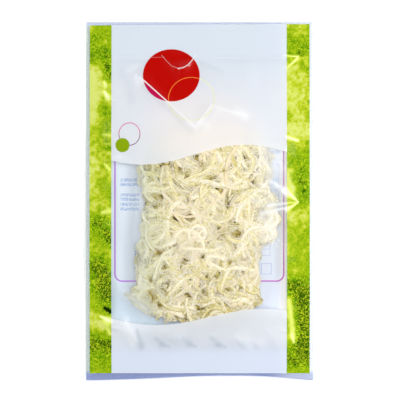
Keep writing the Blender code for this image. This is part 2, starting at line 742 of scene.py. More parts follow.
@dataclass
class Film:
    """The pouch's film: how it lies, with its creases and buckles."""

    form: PouchForm
    layout: Layout = field(default_factory=Layout)
    seal_top: float = 88.7
    seal_bottom: float = -92.5
    seal_side: float = 61.0
    seal_ease: float = 4.0  # how far inside a seal the film has its full depth
    tuck: float = 0.15  # how far both films of a seal lie inside the solid
    seed: int = 4
    crinkle: float = 0.13
    # Size and share of each layer of fine random folds
    crumples: tuple[Point, ...] = ((14.0, 1.0), (7.0, 0.5), (3.6, 0.22))
    creases: tuple[Crease, ...] = (
        Crease(((-37.0, 76.5), (-20.0, 61.2), (-3.0, 45.2)), 1.3, 3.0, 0.25, 0.9),
        Crease(((-3.0, 45.2), (3.0, 53.2), (7.5, 59.1)), 1.3, 2.8, 0.25, 0.85),
        Crease(((7.5, 59.1), (16.0, 55.4), (28.5, 52.8)), 0.8, 3.0, 0.3, 0.4),
        Crease(((-23.5, 90.0), (-20.5, 86.4), (-17.2, 83.2), (-13.4, 81.7)),
               0.6, 1.6, 0.25, 0.25),
        Crease(((-13.4, 81.7), (-10.4, 82.0), (-7.6, 83.6), (-5.0, 86.4), (-2.8, 89.8)),
               0.8, 1.6, 0.25, 0.75),
        Crease(((-50.5, 89.4), (-42.0, 88.6), (-38.5, 89.8), (-34.0, 88.4), (-22.0, 88.8)),
               0.45, 1.2, 0.2, 0.12),
        Crease(((8.0, 88.6), (35.0, 88.2), (61.0, 88.4)), 0.4, 1.2, 0.2, 0.2),
        Crease(((-47.5, -72.0), (-42.5, -81.0), (-37.0, -89.5)), 0.9, 2.2, 0.4),
        Crease(((-12.0, -82.5), (-18.0, -88.5), (-26.0, -89.5)), 0.6, 2.6, 0.5),
        Crease(((6.0, -81.0), (9.5, -87.5), (15.5, -90.5)), 0.6, 2.6, 0.5),
        Crease(((20.0, -82.0), (25.0, -88.0), (32.0, -91.0)), 0.5, 2.6, 0.5),
        Crease(((40.0, -78.0), (46.0, -85.0), (48.0, -92.0)), 0.5, 2.6, 0.5),
    )
    puckers: tuple[Pucker, ...] = (
        Pucker((61.3, 1.0), 158.0, 24.0, 5.5, 1.5),
        Pucker((61.3, 0.6), 196.0, 24.0, 6.0, 1.6),
        Pucker((61.0, 37.0), 178.0, 20.0, 5.0, 1.2),
        Pucker((60.5, 87.0), 200.0, 16.0, 3.5, 0.8),
        Pucker((59.8, -81.5), 170.0, 16.0, 4.0, 1.2),
        Pucker((-61.5, 73.0), -28.0, 18.0, 5.0, 1.0),
        Pucker((-61.0, 63.5), -8.0, 18.0, 5.0, 1.1),
        Pucker((-60.5, 24.0), 6.0, 17.0, 4.5, 0.9),
        Pucker((-60.5, 9.5), -4.0, 17.0, 4.0, 0.8),
        Pucker((-60.8, -6.5), 2.0, 18.0, 4.5, 1.0),
        Pucker((-61.2, -75.5), -14.0, 24.0, 7.0, 1.7),
    )
    # Painted highlights and glare where the film folds or bulges, partly the milkiness of stretched
    # film
    painted_highlights: tuple[Streak, ...] = (
        Streak((-59.0, 73.4), (-58.0, 70.8), 0.9, 1.3, 0.75),
        Streak((-58.8, 67.4), (-56.4, 63.6), 1.1, 1.9, 0.85),
        Streak((-59.6, 41.0), (-55.0, 40.4), 0.7, 0.9, 0.4),
        Streak((-59.0, 35.6), (-55.2, 35.0), 0.5, 0.6, 0.3),
        Streak((-58.4, 22.6), (-55.4, 19.4), 0.8, 1.2, 0.5),
        Streak((-59.8, -7.0), (-55.6, -6.2), 1.2, 1.7, 0.5),
        Streak((-61.2, -71.0), (-55.2, -73.6), 0.8, 1.8, 0.8),
        Streak((-58.2, -74.0), (-55.2, -82.0), 1.8, 1.0, 0.45),
        Streak((51.5, 89.8), (60.6, 89.2), 0.4, 0.4, 0.8),
        Streak((60.3, 88.0), (54.0, 82.2), 1.0, 0.5, 0.7),
        Streak((53.8, 39.3), (60.2, 37.4), 1.2, 1.1, 0.9),
        Streak((60.6, -0.4), (53.0, 6.2), 0.25, 2.4, 0.95),
        Streak((60.8, -0.6), (53.6, -5.2), 0.3, 1.3, 0.8),
        Streak((60.8, -0.5), (42.0, -2.6), 0.3, 1.3, 0.55),
        Streak((55.0, -3.4), (38.0, -7.6), 0.7, 1.8, 0.4),
        Streak((54.0, 4.6), (44.0, 12.0), 1.6, 1.4, 0.4),
        Streak((45.0, 14.0), (46.0, -24.0), 9.0, 8.0, 0.12),
        Streak((44.0, 30.0), (49.0, 20.0), 6.0, 5.0, 0.25),
        Streak((56.6, -82.0), (58.0, -87.0), 1.2, 0.7, 0.7),
        Streak((54.6, -61.0), (57.8, -84.0), 0.9, 1.6, 0.35),
        Streak((-6.0, 47.5), (3.0, 47.5), 3.4, 3.4, 0.35),
        Streak((23.0, 55.0), (28.0, 52.0), 2.6, 2.6, 0.5),
        Streak((8.0, 58.5), (24.0, 53.5), 1.0, 1.0, 0.45),
        Streak((-45.5, -74.0), (-41.0, -88.0), 3.0, 2.2, 0.45),
        Streak((25.0, -84.0), (38.0, -87.0), 3.0, 3.0, 0.25),
        Streak((-38.6, 83.4), (-45.0, 80.0), 1.4, 2.0, 0.2),
        Streak((41.0, 40.0), (42.0, -30.0), 10.0, 9.0, 0.18),
        Streak((-36.0, 34.0), (-36.0, -52.0), 3.5, 4.0, 0.16),
        Streak((-45.0, -57.0), (-32.0, -67.0), 4.0, 4.0, 0.3),
    )
    # Painted shade where the film bends away
    painted_shade: tuple[Streak, ...] = (
        Streak((-38.6, -79.0), (-35.8, -89.6), 0.8, 2.0, 0.5),
        Streak((-34.0, -84.0), (-8.0, -86.5), 4.5, 3.5, 0.2),
        Streak((-27.0, -84.6), (-23.4, -88.0), 1.2, 2.0, 0.34),
        Streak((-23.4, -88.0), (-19.4, -89.4), 1.6, 0.9, 0.42),
        Streak((-9.8, -85.0), (-6.6, -88.0), 1.2, 2.0, 0.22),
        Streak((-6.6, -88.0), (-2.6, -89.6), 1.6, 0.9, 0.4),
        Streak((7.6, -84.0), (11.4, -88.2), 1.2, 2.0, 0.34),
        Streak((11.4, -88.2), (15.6, -89.8), 1.6, 0.9, 0.42),
        Streak((23.0, -86.4), (26.4, -89.4), 1.0, 1.6, 0.24),
        Streak((32.0, -87.0), (35.0, -90.4), 1.0, 1.4, 0.2),
        Streak((-49.0, 86.4), (-24.0, 85.8), 1.3, 1.3, 0.1),
        Streak((0.0, 85.4), (13.5, 79.6), 1.6, 1.6, 0.14),
        Streak((12.0, 86.6), (52.0, 86.6), 1.6, 1.6, 0.08),
        Streak((-47.0, 80.0), (-42.0, 62.0), 3.0, 3.0, 0.14),
        Streak((-34.0, 70.0), (-5.0, 42.8), 1.6, 1.6, 0.12),
        Streak((0.0, 42.8), (9.5, 57.0), 1.4, 1.4, 0.10),
    )

    def __post_init__(self) -> None:
        """Lay out the grid and work out both films' heights on it."""
        columns, column_stretch = self.layout.columns()
        rows, row_stretch = self.layout.rows(columns)
        self.x = np.broadcast_to(columns, rows.shape).copy()
        self.y = rows
        self.region = self.layout.region(column_stretch, row_stretch)
        rng = np.random.default_rng(self.seed)
        inner = self.openness(self.x, self.y)
        relief = sum(crease.relief(self.x, self.y) for crease in self.creases)
        relief = relief + inner * sum(p.relief(self.x, self.y) for p in self.puckers)
        relief = relief + self.crumple(rng) * (0.12 + inner)
        self.front = self.form.front.at(self.x, self.y) - self.tuck + relief
        self.back = self.form.back.at(self.x, self.y) + self.tuck * (1 - inner)
        self.front = np.maximum(self.front, self.back + 0.1)
        # Painted highlights, painted shade, and the bands' tone with its painted shadows and glare
        self.marks = {
            "painted_highlight": self.mingled(self.painted_highlights),
            "painted_shade": self.mingled(self.painted_shade),
            "tone": PaperBand().tone(self.x, self.y),
        }

    def mingled(self, streaks: Sequence[Streak]) -> Array:
        """The cover of several streaks that overlap, from 0 to 1.

        Args:
            streaks: The streaks.

        Returns:
            The cover at the grid's points.
        """
        left = np.ones(self.x.shape)
        for streak in streaks:
            left *= 1 - streak.cover(self.x, self.y)
        return 1 - left

    def openness(self, x: Array, y: Array) -> Array:
        """0 in the seals and 1 in the bag, with a short rise between.

        Args:
            x: Places across the pouch.
            y: Places up the pouch.

        Returns:
            The share at each place.
        """
        side = (self.seal_side - np.abs(x)) / self.seal_ease
        ends = np.minimum(self.seal_top - y, y - self.seal_bottom) / self.seal_ease
        return smooth_step(side) * smooth_step(ends)

    def crumple(self, rng: np.random.Generator) -> Array:
        """Fine random folds of thin film: sharp crests between flat facets.

        Args:
            rng: The source of chance.

        Returns:
            How far the folds lift the film, at the grid's points.
        """
        total = np.zeros(self.x.shape)
        for size, share in self.crumples:
            waves = blurred(rng.standard_normal(self.x.shape), size / self.layout.cell / 2)
            waves /= waves.std()
            total += share * np.exp(-np.abs(waves) * 1.6)
        return self.crinkle * (total - total.mean()) * 1.6


@dataclass(frozen=True)
class Ellipse:
    """A disc or ring of the print."""

    centre: Point
    radii: tuple[float, float]

    def distance(self, sketch: Sketch, x: Field, y: Field) -> Field:
        """How far outside the shape's edge a place is.

        Args:
            sketch: The material's sketch.
            x: Places across the pouch.
            y: Places up the pouch.

        Returns:
            The distance in millimetres, below 0 inside.
        """
        across = (x - self.centre[0]) / self.radii[0]
        along = (y - self.centre[1]) / self.radii[1]
        reach = sketch.math("SQRT", across * across + along * along)
        return (reach - 1.0) * (sum(self.radii) / 2)


@dataclass(frozen=True)
class PanelPrint:
    """The white panels with the red disc, the two thin rings and the green dot."""

    sun: Ellipse = Ellipse((-17.5, 77.4), (17.5, 16.3))
    gold_ring: Ellipse = Ellipse((-5.1, 62.8), (14.1, 13.3))
    pink_ring: Ellipse = Ellipse((-43.2, 41.2), (6.5, 6.9))
    dot: Ellipse = Ellipse((-47.5, 34.4), (4.35, 4.35))
    # painted warm light in the panel's middle, where the squid shows through the ink
    painted_warm_area: Ellipse = Ellipse((2.0, 45.0), (40.0, 24.0))
    white: Colour = srgb(232, 234, 238)
    # painted warm light
    painted_warm_white: Colour = srgb(243, 240, 239)
    # painted cool reflection: the seal strips bluer than the middle
    painted_cool_seal_white: Colour = srgb(222, 229, 236)
    painted_cool_low_white: Colour = srgb(223, 230, 242)
    # painted shade of the film's wrinkles
    painted_shade_grey: Colour = srgb(176, 188, 200)
    red: Colour = srgb(196, 6, 0)
    magenta: Colour = srgb(200, 2, 100)  # the disc below the fold that crosses it
    gold: Colour = srgb(240, 240, 206)
    gold_on_red: Colour = srgb(255, 140, 60)
    pink: Colour = srgb(222, 90, 146)
    plum: Colour = srgb(120, 50, 110)
    green: Colour = srgb(144, 172, 0)
    # white of the painted highlights and crest lines, partly stress whitening
    stress_and_highlight_white: Colour = srgb(255, 255, 255)
    fold_start: Point = (-37.0, 76.5)  # of the fold that crosses the disc
    below_fold: Point = (-0.669, -0.743)  # the direction square to it
    see_through: float = 0.35  # share of the light that comes through the ink
    softness: float = 0.18

    def material(self, creases: Sequence[Crease]) -> bpy.types.Material:
        """White ink on glossy film, with its fields of colour, painted shade and painted
        highlights.

        Args:
            creases: The creases, along which a white line is painted: a crest highlight, partly
                stress whitening.

        Returns:
            The material of both panels.
        """
        finish = Finish(
            "panel_print", 0.35, specular_ior_level=0.15, coat_weight=0.8, coat_roughness=0.08
        )
        sketch = finish.sketch
        x, y, place = finish.place()
        cloud = sketch.noise(place, 0.035, 2.0)
        # painted cool reflection on the seal strips, with random clouds of the same white
        colour = sketch.mix(sketch.ramp(y, 60.0, 96.0), self.white, self.painted_cool_seal_white)
        colour = sketch.mix(sketch.ramp(y, -80.0, -97.0), colour, self.painted_cool_low_white)
        colour = sketch.mix(cloud * 0.25, colour, self.painted_cool_seal_white)
        # painted warm light in the middle
        painted_warmth = sketch.ramp(self.painted_warm_area.distance(sketch, x, y), 6.0, -18.0)
        colour = sketch.mix(painted_warmth, colour, self.painted_warm_white)
        # painted shade where the film bends away
        colour = sketch.mix(finish.attribute("painted_shade"), colour, self.painted_shade_grey)
        sun = self.inside(sketch, self.sun.distance(sketch, x, y))
        colour = sketch.mix(sun, colour, self.red)
        over = (x - self.fold_start[0]) * self.below_fold[0]
        below = over + (y - self.fold_start[1]) * self.below_fold[1]
        colour = sketch.mix(sun * sketch.ramp(below, 0.2, 0.9) * 0.6, colour, self.magenta)
        gold = self.line(sketch, self.gold_ring.distance(sketch, x, y), sun * -0.2 + 0.4)
        colour = sketch.mix(gold, colour, sketch.mix(sun, self.gold, self.gold_on_red))
        pink = self.line(sketch, self.pink_ring.distance(sketch, x, y), 0.24)
        shade = sketch.ramp(y, 45.0, 37.0)
        colour = sketch.mix(pink, colour, sketch.mix(shade, self.pink, self.plum))
        dot = self.inside(sketch, self.dot.distance(sketch, x, y))
        colour = sketch.mix(dot, colour, self.green)
        # painted white crest lines: highlights, partly stress whitening
        for crease in creases:
            if crease.white:
                reach = 0.3 + 0.35 * crease.white**2
                near = sketch.ramp(crease.distance(sketch, x, y), reach, 0.1) * crease.white
                colour = sketch.mix(near, colour, self.stress_and_highlight_white)
        # painted highlights and glare
        colour = sketch.mix(finish.attribute("painted_highlight"), colour, self.stress_and_highlight_white)
        finish.colour(colour)
        finish.bump(sketch.noise(place, 0.3, 2.0), 0.12, 0.25)
        finish.let_through(colour, self.see_through)
        return finish.material

    def inside(self, sketch: Sketch, distance: Field) -> Field:
        """1 inside a shape's edge and 0 outside."""
        return sketch.ramp(distance, self.softness, -self.softness)

    def line(self, sketch: Sketch, distance: Field, half_width: float | Field) -> Field:
        """1 on a thin line along a shape's edge."""
        edge = abs(distance) - half_width
        return sketch.ramp(edge, self.softness * 0.7, -self.softness * 0.7)


@dataclass(frozen=True)
class PaperBand:
    """The green side bands, mottled like long-fibred paper."""

    pale: Colour = srgb(218, 226, 120)
    light: Colour = srgb(196, 209, 44)
    middle: Colour = srgb(148, 181, 8)
    dark: Colour = srgb(98, 151, 0)
    blot: Colour = srgb(54, 96, 0)
    fibre: Colour = srgb(200, 218, 34)
    shadow: Colour = srgb(16, 42, 0)
    sheen: Colour = srgb(230, 243, 108)
    glare: Colour = srgb(255, 255, 214)
    see_through: float = 0.3
    base: float = 0.34  # darkness of the plain paper, from 0 to 1
    weight: float = 1.45  # of the patches below
    # Darker and, below 0, paler stretches of the paper: partly its printed light and dark, partly
    # painted shadow beside the buckles and painted glare where the film bulges
    print_and_light_patches: tuple[Streak, ...] = (
        Streak((-66.0, 102.0), (-56.0, 102.0), 5.0, 5.0, 0.15),
        Streak((-66.0, 91.0), (-56.0, 90.0), 5.0, 5.0, 0.42),
        Streak((-58.5, 84.0), (-55.0, 77.0), 2.0, 2.4, 0.5),
        Streak((-66.0, 80.0), (-65.0, 50.0), 5.0, 4.5, -0.3),
        Streak((-58.0, 57.0), (-56.0, 48.0), 4.5, 4.5, 0.25),
        Streak((-57.5, 37.4), (-55.5, 37.2), 1.1, 1.1, 0.35),
        Streak((-57.5, 32.6), (-55.5, 32.4), 1.3, 1.3, 0.35),
        Streak((-65.0, 28.0), (-64.0, -2.0), 5.0, 5.0, -0.14),
        Streak((-63.0, 9.0), (-57.0, 6.0), 4.0, 4.0, 0.2),
        Streak((-64.0, -14.0), (-57.0, -22.0), 7.0, 6.0, 0.38),
        Streak((-57.5, -20.0), (-55.5, -24.0), 2.2, 2.2, 0.25),
        Streak((-65.0, -40.0), (-57.0, -58.0), 8.0, 8.0, 0.55),
        Streak((-58.0, -42.0), (-56.0, -52.0), 2.6, 2.6, 0.2),
        Streak((-58.2, -66.0), (-54.6, -68.0), 1.0, 1.4, 2.0),
        Streak((-66.0, -74.0), (-58.0, -77.0), 3.6, 3.0, -0.3),
        Streak((-66.0, -89.0), (-56.0, -89.0), 6.5, 6.5, 0.55),
        Streak((-66.0, -101.0), (-56.0, -101.0), 5.0, 5.0, 0.24),
        Streak((55.0, 98.0), (66.0, 97.0), 5.5, 5.5, 0.24),
        Streak((60.5, 91.4), (63.5, 90.6), 1.4, 1.4, 0.5),
        Streak((56.0, 78.0), (60.0, 52.0), 7.0, 7.0, -0.16),
        Streak((54.0, 54.0), (58.0, 50.0), 2.6, 2.6, 0.2),
        Streak((58.0, 43.0), (66.0, 41.0), 4.0, 4.0, -0.2),
        Streak((56.0, 29.0), (66.0, 27.0), 5.0, 5.0, 0.14),
        Streak((62.0, 18.0), (65.0, 2.0), 5.0, 4.5, 0.34),
        Streak((54.0, 18.0), (55.0, 8.0), 2.0, 3.0, -0.3),
        Streak((56.0, -8.0), (63.0, -10.0), 4.0, 4.0, -0.16),
        Streak((57.0, -24.0), (65.0, -26.0), 6.0, 6.0, 0.1),
        Streak((55.0, -38.0), (66.0, -39.0), 3.0, 3.0, 0.2),
        Streak((56.0, -52.0), (66.0, -54.0), 7.0, 7.0, 0.52),
        Streak((63.0, -60.0), (65.0, -88.0), 5.0, 6.0, 0.6),
        Streak((55.0, -60.0), (57.5, -82.0), 1.6, 2.2, -0.45),
        Streak((56.0, -97.0), (66.0, -98.0), 7.0, 7.0, 0.5),
    )

    def tone(self, x: Array, y: Array) -> Array:
        """How dark the paper is at each place, painted shadow and glare included, from 0 to 1 or a
        little past it.
        """
        return self.base + self.weight * sum(patch.cover(x, y) for patch in self.print_and_light_patches)

    def material(self) -> bpy.types.Material:
        """Green ink with cloudy blotches and curly pale fibres in the dark ones, with painted
        shadow and painted highlights.

        Returns:
            The material of both bands.
        """
        finish = Finish(
            "paper_band", 0.5, specular_ior_level=0.05, coat_weight=0.15, coat_roughness=0.1
        )
        sketch = finish.sketch
        _, _, place = finish.place()
        cloud = sketch.noise(place, 0.14, 3.0, 0.4)
        blotch = sketch.noise(place, 0.34, 2.0, 0.5)
        tone = finish.attribute("tone") + (cloud - 0.5) * 0.9 + (blotch - 0.5) * 1.1
        colour = sketch.mix(sketch.ramp(tone, -0.1, 0.3), self.pale, self.light)
        colour = sketch.mix(sketch.ramp(tone, 0.2, 0.5), colour, self.middle)
        colour = sketch.mix(sketch.ramp(tone, 0.45, 0.8), colour, self.dark)
        colour = sketch.mix(sketch.ramp(tone, 0.8, 1.15), colour, self.blot)
        mottled = sketch.ramp(tone, 0.0, 0.6) * 0.75 + 0.25
        grain = sketch.noise(place, 0.95, 1.0, 0.6)
        colour = sketch.mix(sketch.ramp(grain, 0.53, 0.68) * mottled * 0.5, colour, self.fibre)
        colour = sketch.mix(sketch.ramp(grain, 0.48, 0.34) * mottled * 0.2, colour, self.blot)
        curl = sketch.noise(place, 0.32, 1.0, 1.6)
        worm = sketch.ramp(abs(curl - 0.5), 0.045, 0.02)
        colour = sketch.mix(worm * sketch.ramp(tone, 0.35, 0.7) * 0.8, colour, self.fibre)
        colour = sketch.mix(sketch.ramp(tone, 1.4, 2.2), colour, self.shadow)
        # painted sheen and glare where the film folds or bulges
        painted_highlight = finish.attribute("painted_highlight")
        colour = sketch.mix(sketch.ramp(painted_highlight, 0.0, 0.5), colour, self.sheen)
        colour = sketch.mix(sketch.ramp(painted_highlight, 0.4, 0.95), colour, self.glare)
        finish.colour(colour)
        finish.bump(sketch.noise(place, 0.5, 3.0), 0.12, 0.4)
        finish.let_through(colour, self.see_through)
        return finish.material


@dataclass(frozen=True)
class ClearFilm:
    """Thin clear film: mostly see-through, with a gloss and a little haze."""

    name: str = "clear_film"
    haze: float = 0.02
    tint: Colour = (0.995, 0.997, 1.0)
    roughness: float = 0.12
    rim: bool = False
    # the rim's painted light and shade at each side
    left: Colour = srgb(226, 232, 226)
    right: Colour = srgb(240, 243, 249)
    top: Colour = srgb(230, 234, 242)
    bottom: Colour = srgb(186, 198, 227)

    def material(self) -> bpy.types.Material:
        """A see-through shader mixed with a glossy one, more of it at a slant.

        Returns:
            The film's material.
        """
        finish = Finish(self.name, self.roughness, base_color=(0.92, 0.95, 1.0))
        sketch = finish.sketch
        x, y, place = finish.place()
        finish.bump(sketch.noise(place, 0.5, 3.0), 0.12, 0.4)
        tint = self.rim_light_and_shade(sketch, x, y) if self.rim else self.tint
        clear = sketch.node("ShaderNodeBsdfTransparent", {"Color": tint})
        slant = sketch.node("ShaderNodeLayerWeight", {"Blend": 0.25})
        share = Field(sketch, slant.outputs["Fresnel"]) * 0.3 + self.haze
        # painted highlights: the film turns milky white there
        share = share + finish.attribute("painted_highlight") * 0.9
        if self.rim:
            # painted glare, milkier towards the right
            share = share + sketch.ramp(x, 40.0, 60.0) * 0.2
        fed = {0: share, 1: clear.outputs[0], 2: finish.shader.outputs[0]}
        mixed = sketch.node("ShaderNodeMixShader", fed)
        sketch.feed(finish.output.inputs["Surface"], mixed.outputs[0])
        return finish.material

    def rim_light_and_shade(self, sketch: Sketch, x: Field, y: Field) -> Field:
        """The rim's tint, with painted light and shade: greener at the left, palest at the right
        and blue at the bottom.

        Args:
            sketch: The material's sketch.
            x: Places across the pouch.
            y: Places up the pouch.

        Returns:
            The tint.
        """
        sides = sketch.mix(sketch.ramp(x, -60.0, 60.0), self.left, self.right)
        upper = sketch.mix(sketch.ramp(y, 106.0, 109.0), sides, self.top)
        return sketch.mix(sketch.ramp(y, -104.0, -107.0), upper, self.bottom)


@dataclass(frozen=True)
class BackPrint:
    """The back film: white ink with a thin rounded frame, seen from inside and outside."""

    left: float = -52.3
    right: float = 51.8
    bottom: float = -49.4
    top: float = 62.0
    corner: float = 4.5
    line: float = 0.46
    white: Colour = srgb(210, 219, 230)
    painted_light_right: Colour = srgb(217, 223, 238)  # painted light at the right
    painted_light_by_band: Colour = srgb(255, 250, 255)  # painted light beside the right band, over the band's shadow
    painted_shade: Colour = srgb(194, 208, 220)  # painted shade at the window's lower left
    violet: Colour = srgb(176, 112, 214)
    rose: Colour = srgb(190, 98, 190)
    blue: Colour = srgb(122, 154, 208)
    navy: Colour = srgb(70, 104, 170)
    # Middle, half width and half height of plain blocks and of rows of small dashes
    rows: tuple[Row, ...] = (
        (-43.2, 13.0, 5.8, 0.95), (-43.2, 10.2, 5.8, 0.95), (-43.2, 3.8, 5.8, 0.95),
        (-43.2, 1.1, 5.8, 0.95), (-43.2, -2.0, 5.8, 0.95), (-43.2, -4.9, 5.8, 0.95),
        (46.0, 30.3, 3.2, 0.8), (46.4, 11.8, 1.6, 2.6), (46.4, 7.0, 1.6, 0.9),
    )
    boxes: tuple[Row, ...] = (
        (41.7, 9.5, 7.1, 13.5), (46.4, 9.5, 2.4, 13.5), (41.7, -4.0, 7.1, 3.4),
        (38.2, -28.8, 5.2, 4.8), (38.2, -27.6, 5.2, 2.0), (41.2, -41.8, 3.0, 3.2),
    )
    bars: Row = (-38.6, -32.4, 1.6, 5.4)

    def material(self) -> bpy.types.Material:
        """White ink with the frame's line, small blue blocks, rows and boxes, and painted light and
        shade.

        Returns:
            The back film's material.
        """
        finish = Finish("back_print", 0.3, coat_weight=0.2, coat_roughness=0.08)
        sketch = finish.sketch
        x, y, place = finish.place()
        ink = sketch.mix(sketch.ramp(x, -10.0, 50.0), self.violet, self.rose)
        # painted light towards the right and beside the right band; painted shade at the lower left
        paper = sketch.mix(sketch.ramp(x, 24.0, 44.0), self.white, self.painted_light_right)
        paper = sketch.mix(sketch.ramp(x, 47.0, 53.0), paper, self.painted_light_by_band)
        painted_shade_low_left = sketch.ramp(y, -44.0, -62.0) * sketch.ramp(x, 10.0, -30.0)
        paper = sketch.mix(painted_shade_low_left, paper, self.painted_shade)
        colour = sketch.mix(self.frame_line(sketch, x, y), paper, ink)
        dash = sketch.ramp(sketch.noise(sketch.vector(x, y * 0.9, 0.0), 0.9, 1.0), 0.42, 0.56)
        for row in self.rows:
            inside = sketch.ramp(self.block(sketch, x, y, row), 0.1, -0.1)
            colour = sketch.mix(inside * (dash * 0.5 + 0.2), colour, self.blue)
        for box in self.boxes:
            edge = abs(self.block(sketch, x, y, box)) - 0.16
            colour = sketch.mix(sketch.ramp(edge, 0.1, -0.1) * 0.7, colour, self.blue)
        stripe = sketch.ramp(sketch.math("SINE", y * 7.0), -0.2, 0.2)
        inside = sketch.ramp(self.block(sketch, x, y, self.bars), 0.1, -0.1)
        finish.colour(sketch.mix(inside * stripe, colour, self.navy))
        finish.bump(sketch.noise(place, 0.5, 3.0), 0.12, 0.3)
        return finish.material

    def frame_line(self, sketch: Sketch, x: Field, y: Field) -> Field:
        """1 on the rounded frame's line.

        Args:
            sketch: The material's sketch.
            x: Places across the pouch.
            y: Places up the pouch.

        Returns:
            1 on the line and 0 off it.
        """
        half_x, half_y = (self.right - self.left) / 2, (self.top - self.bottom) / 2
        middle_x, middle_y = (self.right + self.left) / 2, (self.top + self.bottom) / 2
        over_x = sketch.math("MAXIMUM", abs(x - middle_x) - (half_x - self.corner), 0.0)
        over_y = sketch.math("MAXIMUM", abs(y - middle_y) - (half_y - self.corner), 0.0)
        reach = sketch.math("SQRT", over_x * over_x + over_y * over_y)
        return sketch.ramp(abs(reach - self.corner) - self.line, 0.12, -0.12)

    @staticmethod
    def block(sketch: Sketch, x: Field, y: Field, shape: tuple[float, ...]) -> Field:
        """How far outside a rectangle a place is, below 0 inside.

        Args:
            sketch: The material's sketch.
            x: Places across the pouch.
            y: Places up the pouch.
            shape: The rectangle's middle, half width and half height.

        Returns:
            The distance.
        """
        beside = abs(x - shape[0]) - shape[2]
        beyond = abs(y - shape[1]) - shape[3]
        return sketch.math("MAXIMUM", beside, beyond)


@dataclass(frozen=True)
class SquidFlesh:
    """Cream shredded squid: fine fibres along each shred, and a tone of its own."""

    name: str = "squid_flesh"
    roughness: float = 0.65
    light: Colour = srgb(235, 227, 206)
    body: Colour = srgb(227, 216, 168)
    groove: Colour = srgb(211, 199, 140)
    # deep and gap: painted shade for shreds down in the heap's recesses
    deep: Colour = srgb(182, 162, 72)
    gap: Colour = srgb(136, 114, 8)
    tan: Colour = srgb(222, 194, 134)
    # painted shade on the heap's left flank
    painted_flank_shade: Colour = srgb(180, 190, 156)

    def material(self) -> bpy.types.Material:
        """A soft flesh, streaked along each shred's length, with painted shade down in the heap, at
        each shred's edges and on the left flank.

        Returns:
            The squid's material.
        """
        finish = Finish(
            self.name,
            self.roughness,
            specular_ior_level=0.12,
            subsurface_weight=0.12,
            subsurface_scale=0.0012,
        )
        finish.shader.inputs["Subsurface Radius"].default_value = (1.0, 0.8, 0.4)
        sketch = finish.sketch
        along, across = finish.attribute("along"), finish.attribute("across")
        tone, shred = finish.attribute("tone"), finish.attribute("shred")
        girth, depth = finish.attribute("girth"), finish.attribute("depth")
        lane = sketch.vector(across * girth * 1.1, along * 0.07, shred * 3.7)
        streak = sketch.noise(lane, 1.3, 3.0)
        fine = sketch.noise(lane, 3.4, 2.0)
        x, _, place = finish.place()
        fluff = sketch.noise(place, 1.0, 2.0, 0.8)
        mixed = streak * 0.34 + fine * 0.1 + fluff * 0.4 + tone * 0.16
        colour = sketch.mix(sketch.ramp(mixed, 0.56, 0.46), self.light, self.body)
        colour = sketch.mix(sketch.ramp(mixed, 0.48, 0.4), colour, self.groove)
        colour = sketch.mix(sketch.ramp(tone, 0.3, 0.0) * 0.15, colour, self.groove)
        colour = sketch.mix(sketch.ramp(tone, 0.86, 1.0) * 0.5, colour, self.tan)
        # painted shade on the heap's left flank
        colour = sketch.mix(sketch.ramp(x, -12.0, -36.0) * 0.5, colour, self.painted_flank_shade)
        # painted shade along each shred's edges and down in the heap's recesses, mottled by the
        # streaks
        edge = sketch.ramp(abs(across), 0.55, 1.0) * 0.6
        low = depth + edge - (mixed - 0.5) * 7.0
        colour = sketch.mix(sketch.ramp(low, 0.4, 2.2), colour, self.deep)
        colour = sketch.mix(sketch.ramp(low, 1.8, 3.6), colour, self.gap)
        finish.colour(colour)
        finish.bump(mixed, 0.8, 1.0)
        return finish.material


class ShredKind(Enum):
    """The kinds of shred, each made as one piece."""

    LOWER = "lower_shreds"
    NARROW = "narrow_shreds"
    BUNDLE = "upper_bundles"
    STRAND = "torn_strands"
    FIBRE = "fine_fibres"


@dataclass(frozen=True)
class ShredSize:
    """How many shreds of a kind there are, how big they are and how they bend."""

    count: int
    width: tuple[float, float]
    length: tuple[float, float]
    flatness: float
    curl: float  # typical curvature, per millimetre
    sides: int
    ridge: float = 0.0
    lump: float = 0.0
    step: float = 1.2  # distance between the path's points


